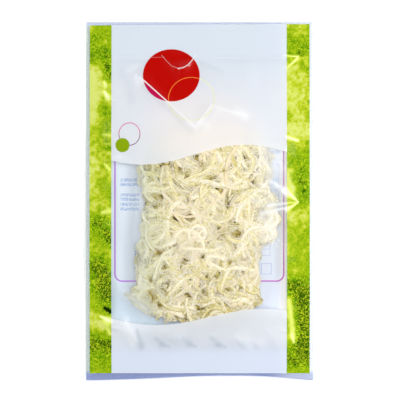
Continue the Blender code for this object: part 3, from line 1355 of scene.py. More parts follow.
@dataclass
class HeapOutline:
    """The heap's uneven outline, and how far inside it each place is."""

    corners: tuple[Point, ...] = (
        (-38.0, 25.0), (-35.6, 6.8), (-35.2, -8.6), (-36.4, -19.6), (-37.4, -27.6),
        (-36.8, -35.0), (-39.4, -42.4), (-40.0, -52.1), (-45.0, -57.4), (-39.0, -62.8),
        (-27.3, -72.6), (-6.0, -76.0), (15.5, -73.4), (32.4, -68.0), (37.6, -60.9),
        (37.8, -50.0), (34.5, -38.0), (39.0, -27.0), (47.6, -22.7), (48.4, -8.6),
        (44.6, 3.8), (43.5, 14.2), (44.5, 27.0), (38.0, 41.0), (15.5, 47.0), (-6.0, 45.0),
        (-32.0, 34.5),
    )
    low: Point = (-70.0, -100.0)
    top: float = 60.0
    step: float = 0.5
    rounding: float = 1.2
    easing: float = 2.0  # for the way inwards

    def __post_init__(self) -> None:
        """Map the distance to the outline, above 0 inside, and the way inwards."""
        across = np.arange(self.low[0], -self.low[0] + self.step, self.step)
        along = np.arange(self.low[1], self.top, self.step)
        x, y = np.meshgrid(across, along)
        away = np.full(x.shape, np.inf)
        inside = np.zeros(x.shape, dtype=bool)
        for (x0, y0), (x1, y1) in zip(self.corners, self.corners[1:] + self.corners[:1]):
            away = np.minimum(away, nearest(x, y, (x0, y0), (x1, y1))[1])
            if y0 != y1:
                beside = x < x0 + (y - y0) * (x1 - x0) / (y1 - y0)
                inside ^= ((y0 > y) != (y1 > y)) & beside
        self.depth = blurred(np.where(inside, away, -away), self.rounding / self.step)
        slope_y, slope_x = np.gradient(blurred(self.depth, self.easing / self.step))
        self.heading = np.arctan2(slope_y, slope_x)

    def cells(self, x: Array, y: Array) -> tuple[Array, Array]:
        """Row and column numbers of places on the map.

        Args:
            x: Places across the pouch.
            y: Places up the pouch.

        Returns:
            The rows and the columns.
        """
        rows, columns = self.depth.shape
        row = np.clip(np.round((y - self.low[1]) / self.step).astype(int), 0, rows - 1)
        column = np.clip(np.round((x - self.low[0]) / self.step).astype(int), 0, columns - 1)
        return row, column

    def inset(self, x: Array, y: Array) -> Array:
        """How far inside the outline a place is, below 0 outside."""
        return self.depth[self.cells(x, y)]

    def inward(self, x: Array, y: Array) -> Array:
        """The heading that leads most directly into the heap."""
        return self.heading[self.cells(x, y)]


@dataclass
class Shred:
    """One laid shred: its path and what the sweep needs at each of its points."""

    path: Array
    girth: Array
    tilt: Array
    tone: float
    thickness: Array


class Pile:
    """The heap as it grows: how high it reaches at each place, under the film."""

    CELL = 0.5
    LOW = (-60.0, -95.0)
    SIZE = (120.0, 155.0)
    FLOOR_GAP = 0.4
    FILM_GAP = 0.85
    COVER = 5.2  # depth of loose shreds over the core
    EDGE = 3.5  # how far inside the outline the core ends
    SLOPE = 13.0
    PIT_DEPTH = 5.0
    PIT_RADIUS = 1.5
    CREST_REACH = 2.0
    CREST_BLUR = 2.2
    LANES = (-0.7, 0.0, 0.7)  # where a shred feels what is under it, as shares of its girth
    STIFFNESS = 0.6  # how far it spans hollows, from 0 to 1
    # Hollows between the upper shreds, as far across and up the pouch
    PITS = (
        (-21.5, 23.4), (-18.2, 22.4), (-8.6, 15.3), (-15.2, 13.0), (-12.8, 10.6), (6.6, 14.0),
        (10.0, 13.6), (15.4, 18.2), (2.4, 22.0), (-25.0, -32.0), (-9.2, -36.8), (-19.8, -49.6),
        (-24.8, -54.2), (-22.0, -55.8), (-29.3, -49.0), (-30.2, -57.0), (-28.9, -59.4),
        (-24.4, -64.2), (-6.9, -57.6), (2.4, -56.0), (-0.8, -65.3), (-13.2, -72.6),
        (-9.0, -71.4), (16.0, -62.4), (1.4, -34.0), (-14.0, -28.0), (-21.8, -40.4),
        (-33.0, -0.6), (-27.2, -2.3), (-8.0, 0.4), (23.8, -20.0), (11.6, -44.2), (18.4, -37.6),
        (6.6, -49.6), (-31.0, -36.8), (17.2, -2.4), (37.6, -5.2), (32.2, 11.4),
    )

    def __init__(self, floor: HeightMap, ceiling: HeightMap, outline: HeapOutline) -> None:
        """Start with the bare core.

        Args:
            floor: The back film's heights.
            ceiling: The front film's heights.
            outline: The heap's outline.
        """
        self.outline = outline
        self.low = np.array(self.LOW)
        shape = (round(self.SIZE[1] / self.CELL), round(self.SIZE[0] / self.CELL))
        rows, columns = np.indices(shape)
        self.x = self.low[0] + columns * self.CELL
        self.y = self.low[1] + rows * self.CELL
        inset = outline.inset(self.x, self.y)
        self.floor = floor.at(self.x, self.y) + self.FLOOR_GAP
        self.ceiling = ceiling.at(self.x, self.y) - self.FILM_GAP
        pits = np.zeros(self.x.shape)
        for x, y in self.PITS:
            away = np.hypot(self.x - x, self.y - y) / self.PIT_RADIUS
            pits = np.maximum(pits, self.PIT_DEPTH * np.exp(-(away**2)))
        self.pitted = self.ceiling - pits
        room = self.ceiling - self.floor
        rise = smooth_step((inset - self.EDGE) / self.SLOPE)
        self.core = self.floor + np.maximum(room - self.COVER, 0.0) * rise
        self.top = self.core.copy()

    def cells(self, points: Array) -> tuple[Array, Array]:
        """Row and column numbers of places.

        Args:
            points: Places, with x and y on the last axis.

        Returns:
            The rows and the columns.
        """
        columns, rows = (
            np.clip(np.round((points[..., i] - self.low[i]) / self.CELL).astype(int), 0, limit - 1)
            for i, limit in ((0, self.top.shape[1]), (1, self.top.shape[0]))
        )
        return rows, columns

    def room(self, paths: Array) -> Array:
        """Mean free height under the film along each of several paths."""
        cells = self.cells(paths)
        return (self.ceiling[cells] - self.top[cells]).mean(axis=-1)

    def rest(self, path: Array, girth: Array, thickness: Array, spans_pits: bool) -> Array:
        """Heights of a shred's middle line where it settles on the pile.

        Args:
            path: The shred's places, n by 2.
            girth: Half its width at each point.
            thickness: Half its thickness at each point.
            spans_pits: Whether it lies over the hollows, not down in them.

        Returns:
            The heights, held between the floor and the film.
        """
        reach = 2
        aside = sideways(path)
        lanes = [path + aside * (girth * share)[:, None] for share in self.LANES]
        heights = np.array([self.top[self.cells(lane)] for lane in lanes])
        stiff, slack = self.STIFFNESS, 1 - self.STIFFNESS
        support = stiff * heights.max(axis=0) + slack * heights.mean(axis=0)
        padded = np.pad(support, reach, mode="edge")
        lifted = np.max([padded[i : i + len(support)] for i in range(2 * reach + 1)], axis=0)
        eased = stiff * lifted + slack * support
        weights = np.hanning(2 * reach + 3)[1:-1]
        padded = np.pad(eased, reach, mode="edge")
        eased = np.convolve(padded, weights / weights.sum(), mode="valid")
        roof = self.ceiling if spans_pits else self.pitted
        return self.held(path, eased + thickness * 0.9, thickness, roof)

    def held(self, path: Array, heights: Array, thickness: Array, roof: Array) -> Array:
        """Heights kept clear of a roof and of the film below.

        Args:
            path: Places, n by 2.
            heights: The heights at first.
            thickness: Half the thickness of what lies there.
            roof: The map of heights to stay under.

        Returns:
            The heights, held in.
        """
        cells = self.cells(path)
        held = np.minimum(heights, roof[cells] - thickness)
        return np.maximum(held, self.floor[cells] + thickness)

    def lay(self, path: Array, heights: Array, girth: Array, thickness: Array) -> None:
        """Raise the pile where a shred now lies.

        Args:
            path: The shred's places, n by 2.
            heights: Its heights.
            girth: Half its width at each point.
            thickness: Half its thickness at each point.
        """
        reach = math.ceil(float(girth.max()) / self.CELL)
        rows, columns = self.cells(path)
        for down in range(-reach, reach + 1):
            for right in range(-reach, reach + 1):
                gap = math.hypot(down, right) * self.CELL
                near = gap <= girth
                if not near.any():
                    continue
                row = np.clip(rows[near] + down, 0, self.top.shape[0] - 1)
                column = np.clip(columns[near] + right, 0, self.top.shape[1] - 1)
                crown = np.sqrt(np.maximum(1 - (gap / girth[near]) ** 2, 0))
                np.maximum.at(self.top, (row, column), heights[near] + thickness[near] * crown)

    def crest(self) -> HeightMap:
        """The level of the heap's upper shreds, over its gaps.

        Returns:
            Its heights.
        """
        reach = round(self.CREST_REACH / self.CELL)
        high = self.top
        for _ in range(2):
            padded = np.pad(high, ((reach, reach), (0, 0)), mode="edge")
            high = np.max([padded[i : i + len(high)] for i in range(2 * reach + 1)], axis=0).T
        return HeightMap(self.LOW, self.CELL, blurred(high, self.CREST_BLUR / self.CELL))


def sideways(path: Array) -> Array:
    """The unit vectors square to a flat path, to its left.

    Args:
        path: The path's points, n by 2.

    Returns:
        One vector for each point.
    """
    way = np.gradient(path, axis=0)
    way /= np.maximum(np.linalg.norm(way, axis=1, keepdims=True), 1e-6)
    return np.stack([-way[:, 1], way[:, 0]], axis=1)


def threaded(corners: Sequence[Point], step: float) -> Array:
    """A smooth path through a few points, with evenly spaced points of its own.

    Args:
        corners: The places it goes through.
        step: The distance between its points.

    Returns:
        Its points, n by 2.
    """
    knots = np.array([corners[0], *corners, corners[-1]], dtype=float)
    t = np.linspace(0, 1, 24, endpoint=False)[:, None]
    pieces = []
    for a, b, c, d in zip(knots, knots[1:], knots[2:], knots[3:]):
        pieces.append(
            b + 0.5 * t * (c - a + t * (2 * a - 5 * b + 4 * c - d + t * (3 * (b - c) + d - a)))
        )
    fine = np.concatenate([*pieces, knots[-1:]])
    reach = np.concatenate([[0.0], np.cumsum(np.linalg.norm(np.diff(fine, axis=0), axis=1))])
    places = np.linspace(0, reach[-1], max(6, round(reach[-1] / step)))
    return np.stack([np.interp(places, reach, fine[:, i]) for i in range(2)], axis=1)


@dataclass
class SquidHeap:
    """The shredded squid: a core, ribbons, bundles of strands, and loose fibres."""

    pile: Pile
    seed: int = 11
    choices: int = 3
    strands: int = 7  # in each bundle
    start_low: Point = (-46.0, -78.0)  # the box that shreds start in
    start_high: Point = (50.0, 46.0)
    start_inset: float = 1.5
    bend_memory: float = 16.0  # distance over which a shred forgets its bend
    steering: float = 0.2  # how strongly the outline turns a shred inwards
    overshoot: float = 0.3  # how far past the outline a shred may run
    tuck_reach: float = 1.6  # nearer the outline than this, a shred is drawn in
    tuck_share: float = 0.6
    taper: float = 5.0  # length of a shred's tapering end
    spread: float = 0.86  # of a bundle's strands, as a share of its girth
    tone_spread: float = 0.16
    core_cell: int = 4  # in cells of the pile
    sizes: dict[ShredKind, ShredSize] = field(
        default_factory=lambda: {
            ShredKind.LOWER: ShredSize(
                130, (3.0, 4.8), (35, 80), 0.36, curl=0.085, sides=8, ridge=0.08, lump=0.3, step=1.6
            ),
            ShredKind.NARROW: ShredSize(
                200, (1.6, 2.9), (30, 70), 0.45, curl=0.1, sides=6, ridge=0.08, lump=0.3, step=1.6
            ),
            ShredKind.BUNDLE: ShredSize(
                84, (3.2, 5.0), (36, 72), 0.34, curl=0.11, sides=4, lump=0.4, step=1.8
            ),
            ShredKind.STRAND: ShredSize(820, (0.5, 0.9), (10, 34), 0.7, curl=0, sides=4, lump=0.1),
            ShredKind.FIBRE: ShredSize(2200, (0.3, 0.6), (6, 24), 0.9, curl=0, sides=3),
        }
    )
    # The shreds that lie uppermost, each by a few places along it and its width
    uppermost: tuple[tuple[float, tuple[Point, ...]], ...] = (
        (4.6, ((-22.0, 20.5), (-16.5, 16.5), (-11.0, 11.5), (-6.0, 5.5), (-2.0, 1.5))),
        (4.4, ((-26.0, 18.0), (-20.5, 13.8), (-15.5, 9.5), (-11.0, 5.0), (-8.0, -1.0))),
        (3.8, ((-13.5, 17.0), (-6.0, 18.0), (0.0, 19.0), (5.0, 24.0), (6.5, 29.0))),
        (4.2, ((-13.0, 26.0), (-7.0, 20.8), (-3.0, 14.0), (3.0, 16.5), (10.0, 18.5), (13.5, 22.0),
               (14.5, 27.0), (10.5, 31.0))),
        (4.0, ((16.5, 34.0), (20.0, 29.5), (22.0, 25.0), (21.0, 19.0), (19.0, 13.0))),
        (3.6, ((4.0, 11.0), (10.0, 11.5), (16.0, 10.0), (21.0, 6.5))),
        (4.4, ((-3.0, 8.0), (1.0, 2.5), (5.0, -3.0), (10.0, -7.5), (15.0, -10.0))),
        (3.8, ((7.0, 6.0), (10.0, 0.0), (13.5, -4.0), (17.5, -8.5), (20.0, -14.0))),
        (4.0, ((-5.0, -2.0), (-1.5, -7.0), (2.5, -10.5), (6.5, -13.0), (8.0, -18.0), (4.5, -21.5),
               (0.5, -18.5))),
        (3.6, ((-4.5, -20.0), (-5.0, -28.0), (-4.6, -35.0), (-2.0, -40.0), (3.0, -42.5),
               (8.0, -40.5), (10.5, -35.0), (10.0, -27.0), (8.5, -21.0))),
        (3.6, ((-18.0, -23.5), (-12.5, -22.0), (-8.3, -25.0), (-8.6, -30.0), (-13.5, -31.4),
               (-17.6, -28.4))),
        (4.4, ((-21.0, -14.0), (-21.6, -22.0), (-20.5, -29.0), (-17.5, -35.5), (-13.0, -40.5))),
        (4.2, ((-9.5, -52.5), (-14.0, -48.0), (-19.5, -46.8), (-24.6, -49.2), (-25.6, -54.5),
               (-20.5, -58.8), (-13.5, -58.4), (-9.0, -55.0))),
        (3.6, ((-11.0, -46.0), (-8.5, -50.5), (-5.5, -54.5), (-3.0, -60.5))),
        (3.8, ((-27.0, -43.5), (-19.0, -44.0), (-10.0, -44.6), (-2.0, -46.2), (2.5, -50.5),
               (-1.0, -54.5))),
        (4.4, ((-12.0, -63.0), (-4.0, -61.0), (4.0, -61.8), (12.0, -65.0), (20.0, -65.5),
               (27.0, -63.0))),
        (4.6, ((9.5, -46.5), (6.0, -52.0), (7.4, -58.5), (13.5, -59.6), (19.0, -57.5),
               (22.5, -52.5), (20.0, -47.5))),
        (4.2, ((15.5, -14.0), (17.5, -22.0), (17.0, -30.0), (13.5, -37.0), (15.0, -43.0))),
        (4.0, ((26.0, -8.0), (27.0, -16.0), (28.0, -24.0), (26.0, -32.0), (22.0, -39.0))),
        (4.0, ((25.0, -66.0), (31.0, -61.0), (34.0, -54.0), (31.5, -47.0), (27.0, -43.0))),
        (4.4, ((32.0, 32.0), (31.0, 25.0), (33.5, 18.5), (36.0, 12.0), (35.0, 5.0))),
        (3.8, ((25.0, 14.0), (29.0, 8.0), (34.0, 3.0), (37.0, -3.0), (35.0, -9.5))),
        (4.6, ((33.0, -11.0), (38.5, -12.0), (43.6, -14.5), (45.0, -19.0), (41.0, -22.0),
               (35.5, -21.0))),
        (3.8, ((40.0, 1.0), (44.0, -4.5), (45.6, -10.5), (42.4, -8.0), (38.6, -2.5))),
        (4.0, ((-33.0, 17.5), (-33.5, 10.0), (-31.5, 3.5), (-27.0, -0.5), (-21.0, -1.5))),
        (3.6, ((-31.0, -8.0), (-33.5, -15.0), (-33.5, -23.0), (-35.0, -30.5), (-33.5, -36.5))),
        (4.0, ((-36.5, -39.0), (-37.4, -46.0), (-34.6, -53.0), (-33.0, -60.0), (-28.0, -66.5),
               (-21.5, -71.0))),
        (3.2, ((-46.6, -56.8), (-42.0, -58.8), (-37.0, -60.4), (-31.0, -64.5))),
        (3.0, ((-43.6, -60.6), (-39.4, -62.8), (-34.6, -66.0), (-29.0, -71.0))),
        (2.6, ((-42.0, -55.8), (-38.0, -55.4), (-34.0, -56.6), (-29.6, -60.4))),
        (3.8, ((-29.0, -31.0), (-31.0, -40.0), (-27.5, -44.5), (-27.5, -51.0))),
        (3.8, ((-22.0, -75.0), (-17.5, -70.0), (-17.0, -65.0), (-12.0, -61.8))),
        (3.6, ((-8.0, -75.0), (-4.0, -70.0), (3.0, -68.6), (11.0, -70.0), (18.0, -69.0))),
    )

    def build(self) -> list[bpy.types.Object]:
        """Lay all the shreds and make their pieces.

        Returns:
            The heap's pieces.
        """
        rng = np.random.default_rng(self.seed)
        laid: dict[ShredKind, list[Shred]] = {kind: [] for kind in ShredKind}
        ribbons = (ShredKind.LOWER, ShredKind.NARROW)
        order = [kind for kind in ribbons for _ in range(self.sizes[kind].count)]
        for index in rng.permutation(len(order)):
            kind = order[index]
            laid[kind].append(self.lay_one(rng, self.sizes[kind]))
        bundle = self.sizes[ShredKind.BUNDLE]
        parents = [self.lay_one(rng, bundle) for _ in range(bundle.count)]
        for width, corners in self.uppermost:
            path = threaded(corners, bundle.step)
            parents.append(self.settle(rng, bundle, path, width, True))
        laid[ShredKind.BUNDLE] = [part for parent in parents for part in self.split(rng, parent)]
        parents += laid[ShredKind.LOWER] + laid[ShredKind.NARROW]
        seen = np.array([self.seen(shred) for shred in parents])
        for kind in (ShredKind.STRAND, ShredKind.FIBRE):
            picks = rng.choice(len(parents), self.sizes[kind].count, p=seen / seen.sum())
            laid[kind] = [self.fray(rng, parents[pick], self.sizes[kind]) for pick in picks]
        flesh = SquidFlesh().material()
        sweep = ShredSweep(flesh)
        pieces = [self.core(flesh)]
        pieces += [sweep.piece(kind.value, self.sizes[kind], laid[kind]) for kind in ShredKind]
        crest = self.pile.crest()
        for piece in pieces:
            self.shade(piece, crest)
        return pieces

    def seen(self, shred: Shred) -> float:
        """How much of a shred lies open at the top of the heap.

        Args:
            shred: The laid shred.

        Returns:
            Its open area, roughly, and never 0.
        """
        cells = self.pile.cells(shred.path[:, :2])
        above = shred.path[:, 2] + shred.thickness > self.pile.top[cells] - 0.4
        return float(above.sum()) * float(shred.girth.mean()) + 0.01

    def wander(self, rng: np.random.Generator, size: ShredSize, points: int) -> Array:
        """Several curling paths inside the outline, to choose from.

        Args:
            rng: The source of chance.
            size: The shred's size and curl.
            points: How many points each path has.

        Returns:
            An array of paths by points by x and y.
        """
        outline = self.pile.outline
        tries = rng.uniform(self.start_low, self.start_high, (self.choices * 12, 2))
        tries = tries[outline.inset(tries[:, 0], tries[:, 1]) > self.start_inset][: self.choices]
        x, y = tries[:, 0], tries[:, 1]
        count = len(x)
        heading = rng.uniform(0, 2 * math.pi, count)
        bend = rng.normal(0, size.curl, count)
        memory = size.step / self.bend_memory
        path = np.zeros((count, points, 2))
        for index in range(points):
            path[:, index, 0], path[:, index, 1] = x, y
            off = outline.inward(x, y) - heading
            steer = np.clip(1.3 - outline.inset(x, y) / 5.0, 0, 2.4) * np.sin(off)
            chance = rng.standard_normal(count)
            bend += -bend * memory + size.curl * math.sqrt(2 * memory) * chance
            heading = heading + (bend + self.steering * steer) * size.step
            x = x + np.cos(heading) * size.step
            y = y + np.sin(heading) * size.step
        return path

    def lay_one(self, rng: np.random.Generator, size: ShredSize) -> Shred:
        """Lay one shred where the heap has most room for it.

        Args:
            rng: The source of chance.
            size: The shred's kind of size.

        Returns:
            The laid shred.
        """
        points = max(8, round(rng.uniform(*size.length) / size.step))
        paths = self.wander(rng, size, points)
        path = paths[int(np.argmax(self.pile.room(paths)))]
        strayed = self.pile.outline.inset(path[:, 0], path[:, 1]) < -self.overshoot
        if strayed.any():
            path = path[: max(8, int(np.argmax(strayed)))]
        return self.settle(rng, size, self.tucked(path), rng.uniform(*size.width), False)

    def tucked(self, path: Array) -> Array:
        """The same path, drawn in where it comes near the heap's outline or crosses it.

        Args:
            path: Places, n by 2.

        Returns:
            The new places.
        """
        outline = self.pile.outline
        inset = outline.inset(path[:, 0], path[:, 1])
        pull = self.tuck_share * np.maximum(self.tuck_reach - inset, 0.0)
        heading = outline.inward(path[:, 0], path[:, 1])
        drawn = path + pull[:, None] * np.stack([np.cos(heading), np.sin(heading)], axis=1)
        drawn[1:-1] = (drawn[:-2] + 2 * drawn[1:-1] + drawn[2:]) / 4
        return drawn

    def settle(
        self,
        rng: np.random.Generator,
        size: ShredSize,
        path: Array,
        width: float,
        spans_pits: bool,
    ) -> Shred:
        """Let a shred come to rest along a path, and add it to the pile.

        Args:
            rng: The source of chance.
            size: The shred's kind of size.
            path: Its places, n by 2.
            width: Its width at its widest.
            spans_pits: Whether it lies over the hollows.

        Returns:
            The laid shred.
        """
        points = len(path)
        uneven = 1 + 0.24 * wavy(rng, points, max(3, points // 7))
        from_end = np.minimum(np.arange(points), np.arange(points)[::-1]) * size.step
        girth = width / 2 * uneven * (0.35 + 0.65 * smooth_step(from_end / self.taper))
        thickness = girth * size.flatness
        heights = self.pile.rest(path, girth, thickness, spans_pits)
        self.pile.lay(path, heights, girth, thickness)
        tilt = 0.35 * wavy(rng, points, max(3, points // 9)) + 0.15 * rng.uniform(-1, 1)
        joined = np.column_stack([path, heights])
        return Shred(joined, girth, tilt, float(rng.uniform()), thickness)

    def split(self, rng: np.random.Generator, parent: Shred) -> list[Shred]:
        """The strands that make up a bundle, side by side and slightly apart.

        Args:
            rng: The source of chance.
            parent: The laid bundle.

        Returns:
            Its strands.
        """
        points = len(parent.path)
        aside = sideways(parent.path[:, :2])
        parts = []
        for place in np.linspace(-self.spread, self.spread, self.strands):
            across = place + 0.16 * wavy(rng, points, max(3, points // 6))
            across = across + 0.08 * wavy(rng, points, max(3, points // 2))
            girth = parent.girth * (0.22 + 0.05 * wavy(rng, points, max(3, points // 4)))
            crown = np.sqrt(np.clip(1 - across**2, 0.0, 1.0))
            lift = 0.75 * crown - 0.5 + 0.5 * wavy(rng, points, max(3, points // 6))
            rise = parent.thickness * lift
            path = parent.path.copy()
            path[:, :2] += aside * (across * parent.girth)[:, None]
            thickness = girth * 0.62
            heights = path[:, 2] + rise
            path[:, 2] = self.pile.held(path[:, :2], heights, thickness, self.pile.ceiling)
            tone = float(np.clip(parent.tone + rng.normal(0, self.tone_spread), 0, 1))
            parts.append(Shred(path, girth, parent.tilt, tone, thickness))
        return parts

    def fray(self, rng: np.random.Generator, parent: Shred, size: ShredSize) -> Shred:
        """A strand that lies along a shred and strays over its edge.

        Args:
            rng: The source of chance.
            parent: The shred that it lies on.
            size: The strand's kind of size.

        Returns:
            The strand.
        """
        points = min(max(6, round(rng.uniform(*size.length) / size.step)), len(parent.path))
        start = int(rng.integers(0, len(parent.path) - points + 1))
        span = slice(start, start + points)
        across = rng.uniform(-0.95, 0.95) + 0.42 * wavy(rng, points, max(3, points // 6))
        across = across + 0.24 * wavy(rng, points, max(3, points // 2))
        loose = rng.choice((0.0, 1.0), p=(0.8, 0.2)) * rng.choice((-1.0, 1.0))
        across = across + loose * 1.3 * np.linspace(0, 1, points) ** 2.5
        base = parent.path[span, :2]
        path = base + sideways(base) * (across * parent.girth[span])[:, None]
        girth = np.full(points, rng.uniform(*size.width) / 2)
        taper = smooth_step(np.minimum(np.arange(points), np.arange(points)[::-1]) / 4.0)
        girth *= 0.3 + 0.7 * taper
        thickness = girth * size.flatness
        crown = np.sqrt(np.clip(1 - across**2, 0.0, 1.0))
        heights = parent.path[span, 2] + parent.thickness[span] * crown + thickness * 0.35
        heights = self.pile.held(path, heights, thickness, self.pile.ceiling)
        joined = np.column_stack([path, heights])
        tone = float(np.clip(parent.tone + rng.normal(0, self.tone_spread), 0, 1))
        return Shred(joined, girth, np.zeros(points), tone, thickness)

    def shade(self, piece: bpy.types.Object, crest: HeightMap) -> None:
        """Store how deep in the heap each point of a piece lies, for the flesh's painted shade.

        Args:
            piece: The piece to mark.
            crest: The level of the heap's upper shreds.
        """
        mesh = piece.data
        places = np.empty(len(mesh.vertices) * 3)
        mesh.vertices.foreach_get("co", places)
        places = places.reshape(-1, 3) / MM
        depth = crest.at(places[:, 0], places[:, 1]) - places[:, 2]
        inset = self.pile.outline.inset(places[:, 0], places[:, 1])
        # less painted shade near the heap's outline
        depth *= np.clip((inset + 1.0) / 9.0, 0.2, 1.0)
        store(mesh, "depth", depth)

    def core(self, flesh: bpy.types.Material) -> bpy.types.Object:
        """The heap's packed middle, which the laid shreds cover.

        Args:
            flesh: Its material.

        Returns:
            The piece.
        """
        pile = self.pile
        every = slice(None, None, self.core_cell)
        x, y = pile.x[every, every], pile.y[every, every]
        top, low = pile.core[every, every] + 0.3, pile.floor[every, every]
        held = pile.outline.inset(x, y) > pile.EDGE
        mask = held[:-1, :-1] & held[1:, :-1] & held[:-1, 1:] & held[1:, 1:]
        above = grid_faces(mask)
        below = above[:, ::-1] + x.size
        points = np.concatenate(
            [np.stack([x, y, z], axis=-1).reshape(-1, 3) for z in (top, low)]
        )
        faces = np.concatenate([above, below, self.wall(above, x.size)])
        piece = make_mesh("heap_core", *without_strays(points, faces))
        piece.data.materials.append(flesh)
        return piece

    @staticmethod
    def wall(above: Array, shift: int) -> Array:
        """The faces that join the rim of an upper sheet to the same sheet below.

        Args:
            above: The upper sheet's faces.
            shift: How far the lower points' numbers are ahead.

        Returns:
            The wall's faces.
        """
        edges = np.concatenate([above[:, [i, (i + 1) % 4]] for i in range(4)])
        known = {(int(a), int(b)) for a, b in edges}
        rim = np.array([(a, b) for a, b in sorted(known) if (b, a) not in known])
        return np.stack([rim[:, 0], rim[:, 0] + shift, rim[:, 1] + shift, rim[:, 1]], axis=1)


class ShredSweep:
    """Sweeps a ridged flat profile along every shred's path with Geometry Nodes."""

    SEED = 3.0

    def __init__(self, flesh: bpy.types.Material) -> None:
        """Build the tree once for all kinds.

        Args:
            flesh: The shreds' material.
        """
        self.tree = bpy.data.node_groups.new("shred_sweep", "GeometryNodeTree")
        self.inputs: dict[str, str] = {}
        self._interface()
        self._wire(flesh)

    def _interface(self) -> None:
        """Name the tree's inputs and its output."""
        face = self.tree.interface
        face.new_socket("Geometry", in_out="INPUT", socket_type="NodeSocketGeometry")
        for name, kind in (
            ("Sides", "NodeSocketInt"),
            ("Flatness", "NodeSocketFloat"),
            ("Ridge", "NodeSocketFloat"),
            ("Lump", "NodeSocketFloat"),
        ):
            made = face.new_socket(name, in_out="INPUT", socket_type=kind)
            self.inputs[name] = made.identifier
        face.new_socket("Geometry", in_out="OUTPUT", socket_type="NodeSocketGeometry")

    def _wire(self, flesh: bpy.types.Material) -> None:
        """Wire the profile, the sweep and the fibrous relief.

        Args:
            flesh: The shreds' material.
        """
        sketch = Sketch(self.tree)
        given = sketch.node("NodeGroupInput").outputs
        index = Field(sketch, sketch.node("GeometryNodeInputIndex").outputs[0])
        turn = index / given["Sides"] * (2 * math.pi)
        across = sketch.math("COSINE", turn)
        ridges = sketch.math("COSINE", turn * 5.0) * given["Ridge"] + 1.0
        up = sketch.math("SINE", turn) * given["Flatness"] * ridges
        circle = sketch.node("GeometryNodeCurvePrimitiveCircle", {"Resolution": given["Sides"]})
        oval = {"Geometry": circle.outputs["Curve"], "Position": sketch.vector(across, up, 0.0)}
        shaped = sketch.node("GeometryNodeSetPosition", oval)
        marked = {"Geometry": shaped.outputs[0], "Name": "across", "Value": across}
        profile = sketch.node(
            "GeometryNodeStoreNamedAttribute", marked, data_type="FLOAT", domain="POINT"
        )
        curve = sketch.node("GeometryNodeMeshToCurve", {"Mesh": given["Geometry"]})
        level = sketch.node("GeometryNodeSetCurveNormal", {"Curve": curve.outputs[0]}, mode="Z_UP")
        leaning = {"Curve": level.outputs[0], "Tilt": self._named(sketch, "tilt")}
        tilted = sketch.node("GeometryNodeSetCurveTilt", leaning)
        girth = self._named(sketch, "girth")
        sweep = {
            "Curve": tilted.outputs[0],
            "Profile Curve": profile.outputs[0],
            "Scale": girth * MM,
            "Fill Caps": True,
        }
        swept = sketch.node("GeometryNodeCurveToMesh", sweep)
        lane = sketch.vector(
            self._named(sketch, "across") * girth * 0.9,
            self._named(sketch, "along") * 0.1,
            self._named(sketch, "shred") * 5.3 + self.SEED,
        )
        relief = (sketch.noise(lane, 1.5, 2.0) - 0.5) * given["Lump"] * MM * girth
        push = {0: sketch.node("GeometryNodeInputNormal").outputs[0], "Scale": relief}
        pushed = sketch.node("ShaderNodeVectorMath", push, operation="SCALE")
        moved = {"Geometry": swept.outputs["Mesh"], "Offset": pushed.outputs[0]}
        rough = sketch.node("GeometryNodeSetPosition", moved)
        real = sketch.node("GeometryNodeRealizeInstances", {"Geometry": rough.outputs[0]})
        dress = {"Geometry": real.outputs[0], "Material": flesh}
        dressed = sketch.node("GeometryNodeSetMaterial", dress)
        sketch.node("NodeGroupOutput", {0: dressed.outputs[0]})

    def _named(self, sketch: Sketch, name: str) -> Field:
        """A number stored on the geometry."""
        made = sketch.node("GeometryNodeInputNamedAttribute", {"Name": name}, data_type="FLOAT")
        return Field(sketch, made.outputs["Attribute"])

    def piece(self, name: str, size: ShredSize, shreds: Sequence[Shred]) -> bpy.types.Object:
        """Sweep one kind's shreds and return them as a plain mesh.

        Args:
            name: The piece's name.
            size: The kind's size, which gives the profile.
            shreds: The laid shreds.

        Returns:
            The finished piece, with no modifier left.
        """
        spine = self._spine(name + "_spine", shreds)
        modifier = spine.modifiers.new("Sweep", "NODES")
        modifier.node_group = self.tree
        for socket, value in (
            ("Sides", size.sides),
            ("Flatness", size.flatness),
            ("Ridge", size.ridge),
            ("Lump", size.lump),
        ):
            modifier[self.inputs[socket]] = value
        graph = bpy.context.evaluated_depsgraph_get()
        mesh = bpy.data.meshes.new_from_object(spine.evaluated_get(graph))
        mesh.name = name
        mesh.shade_smooth()
        spine.modifiers.remove(modifier)
        bpy.data.objects.remove(spine)
        return linked(name, mesh)

    def _spine(self, name: str, shreds: Sequence[Shred]) -> bpy.types.Object:
        """The shreds' paths as one mesh of edges, with their sizes stored on its points.

        Args:
            name: The mesh's name.
            shreds: The laid shreds.

        Returns:
            The spine, ready for the sweep.
        """
        points = np.concatenate([shred.path for shred in shreds])
        starts = np.cumsum([0] + [len(shred.path) for shred in shreds])
        runs = zip(starts, starts[1:])
        edges = np.concatenate(
            [np.column_stack([np.arange(a, b - 1), np.arange(a + 1, b)]) for a, b in runs]
        )
        mesh = bpy.data.meshes.new(name)
        mesh.from_pydata((points * MM).tolist(), edges.tolist(), [])
        along = []
        for shred in shreds:
            gaps = np.linalg.norm(np.diff(shred.path, axis=0), axis=1)
            along.append(np.concatenate([[0.0], np.cumsum(gaps)]))
        values = {
            "girth": np.concatenate([shred.girth for shred in shreds]),
            "tilt": np.concatenate([shred.tilt for shred in shreds]),
            "along": np.concatenate(along),
            "tone": np.concatenate([np.full(len(s.path), s.tone) for s in shreds]),
            "shred": np.concatenate([np.full(len(s.path), i) for i, s in enumerate(shreds)]),
        }
        for key, value in values.items():
            store(mesh, key, value)
        return linked(name, mesh)


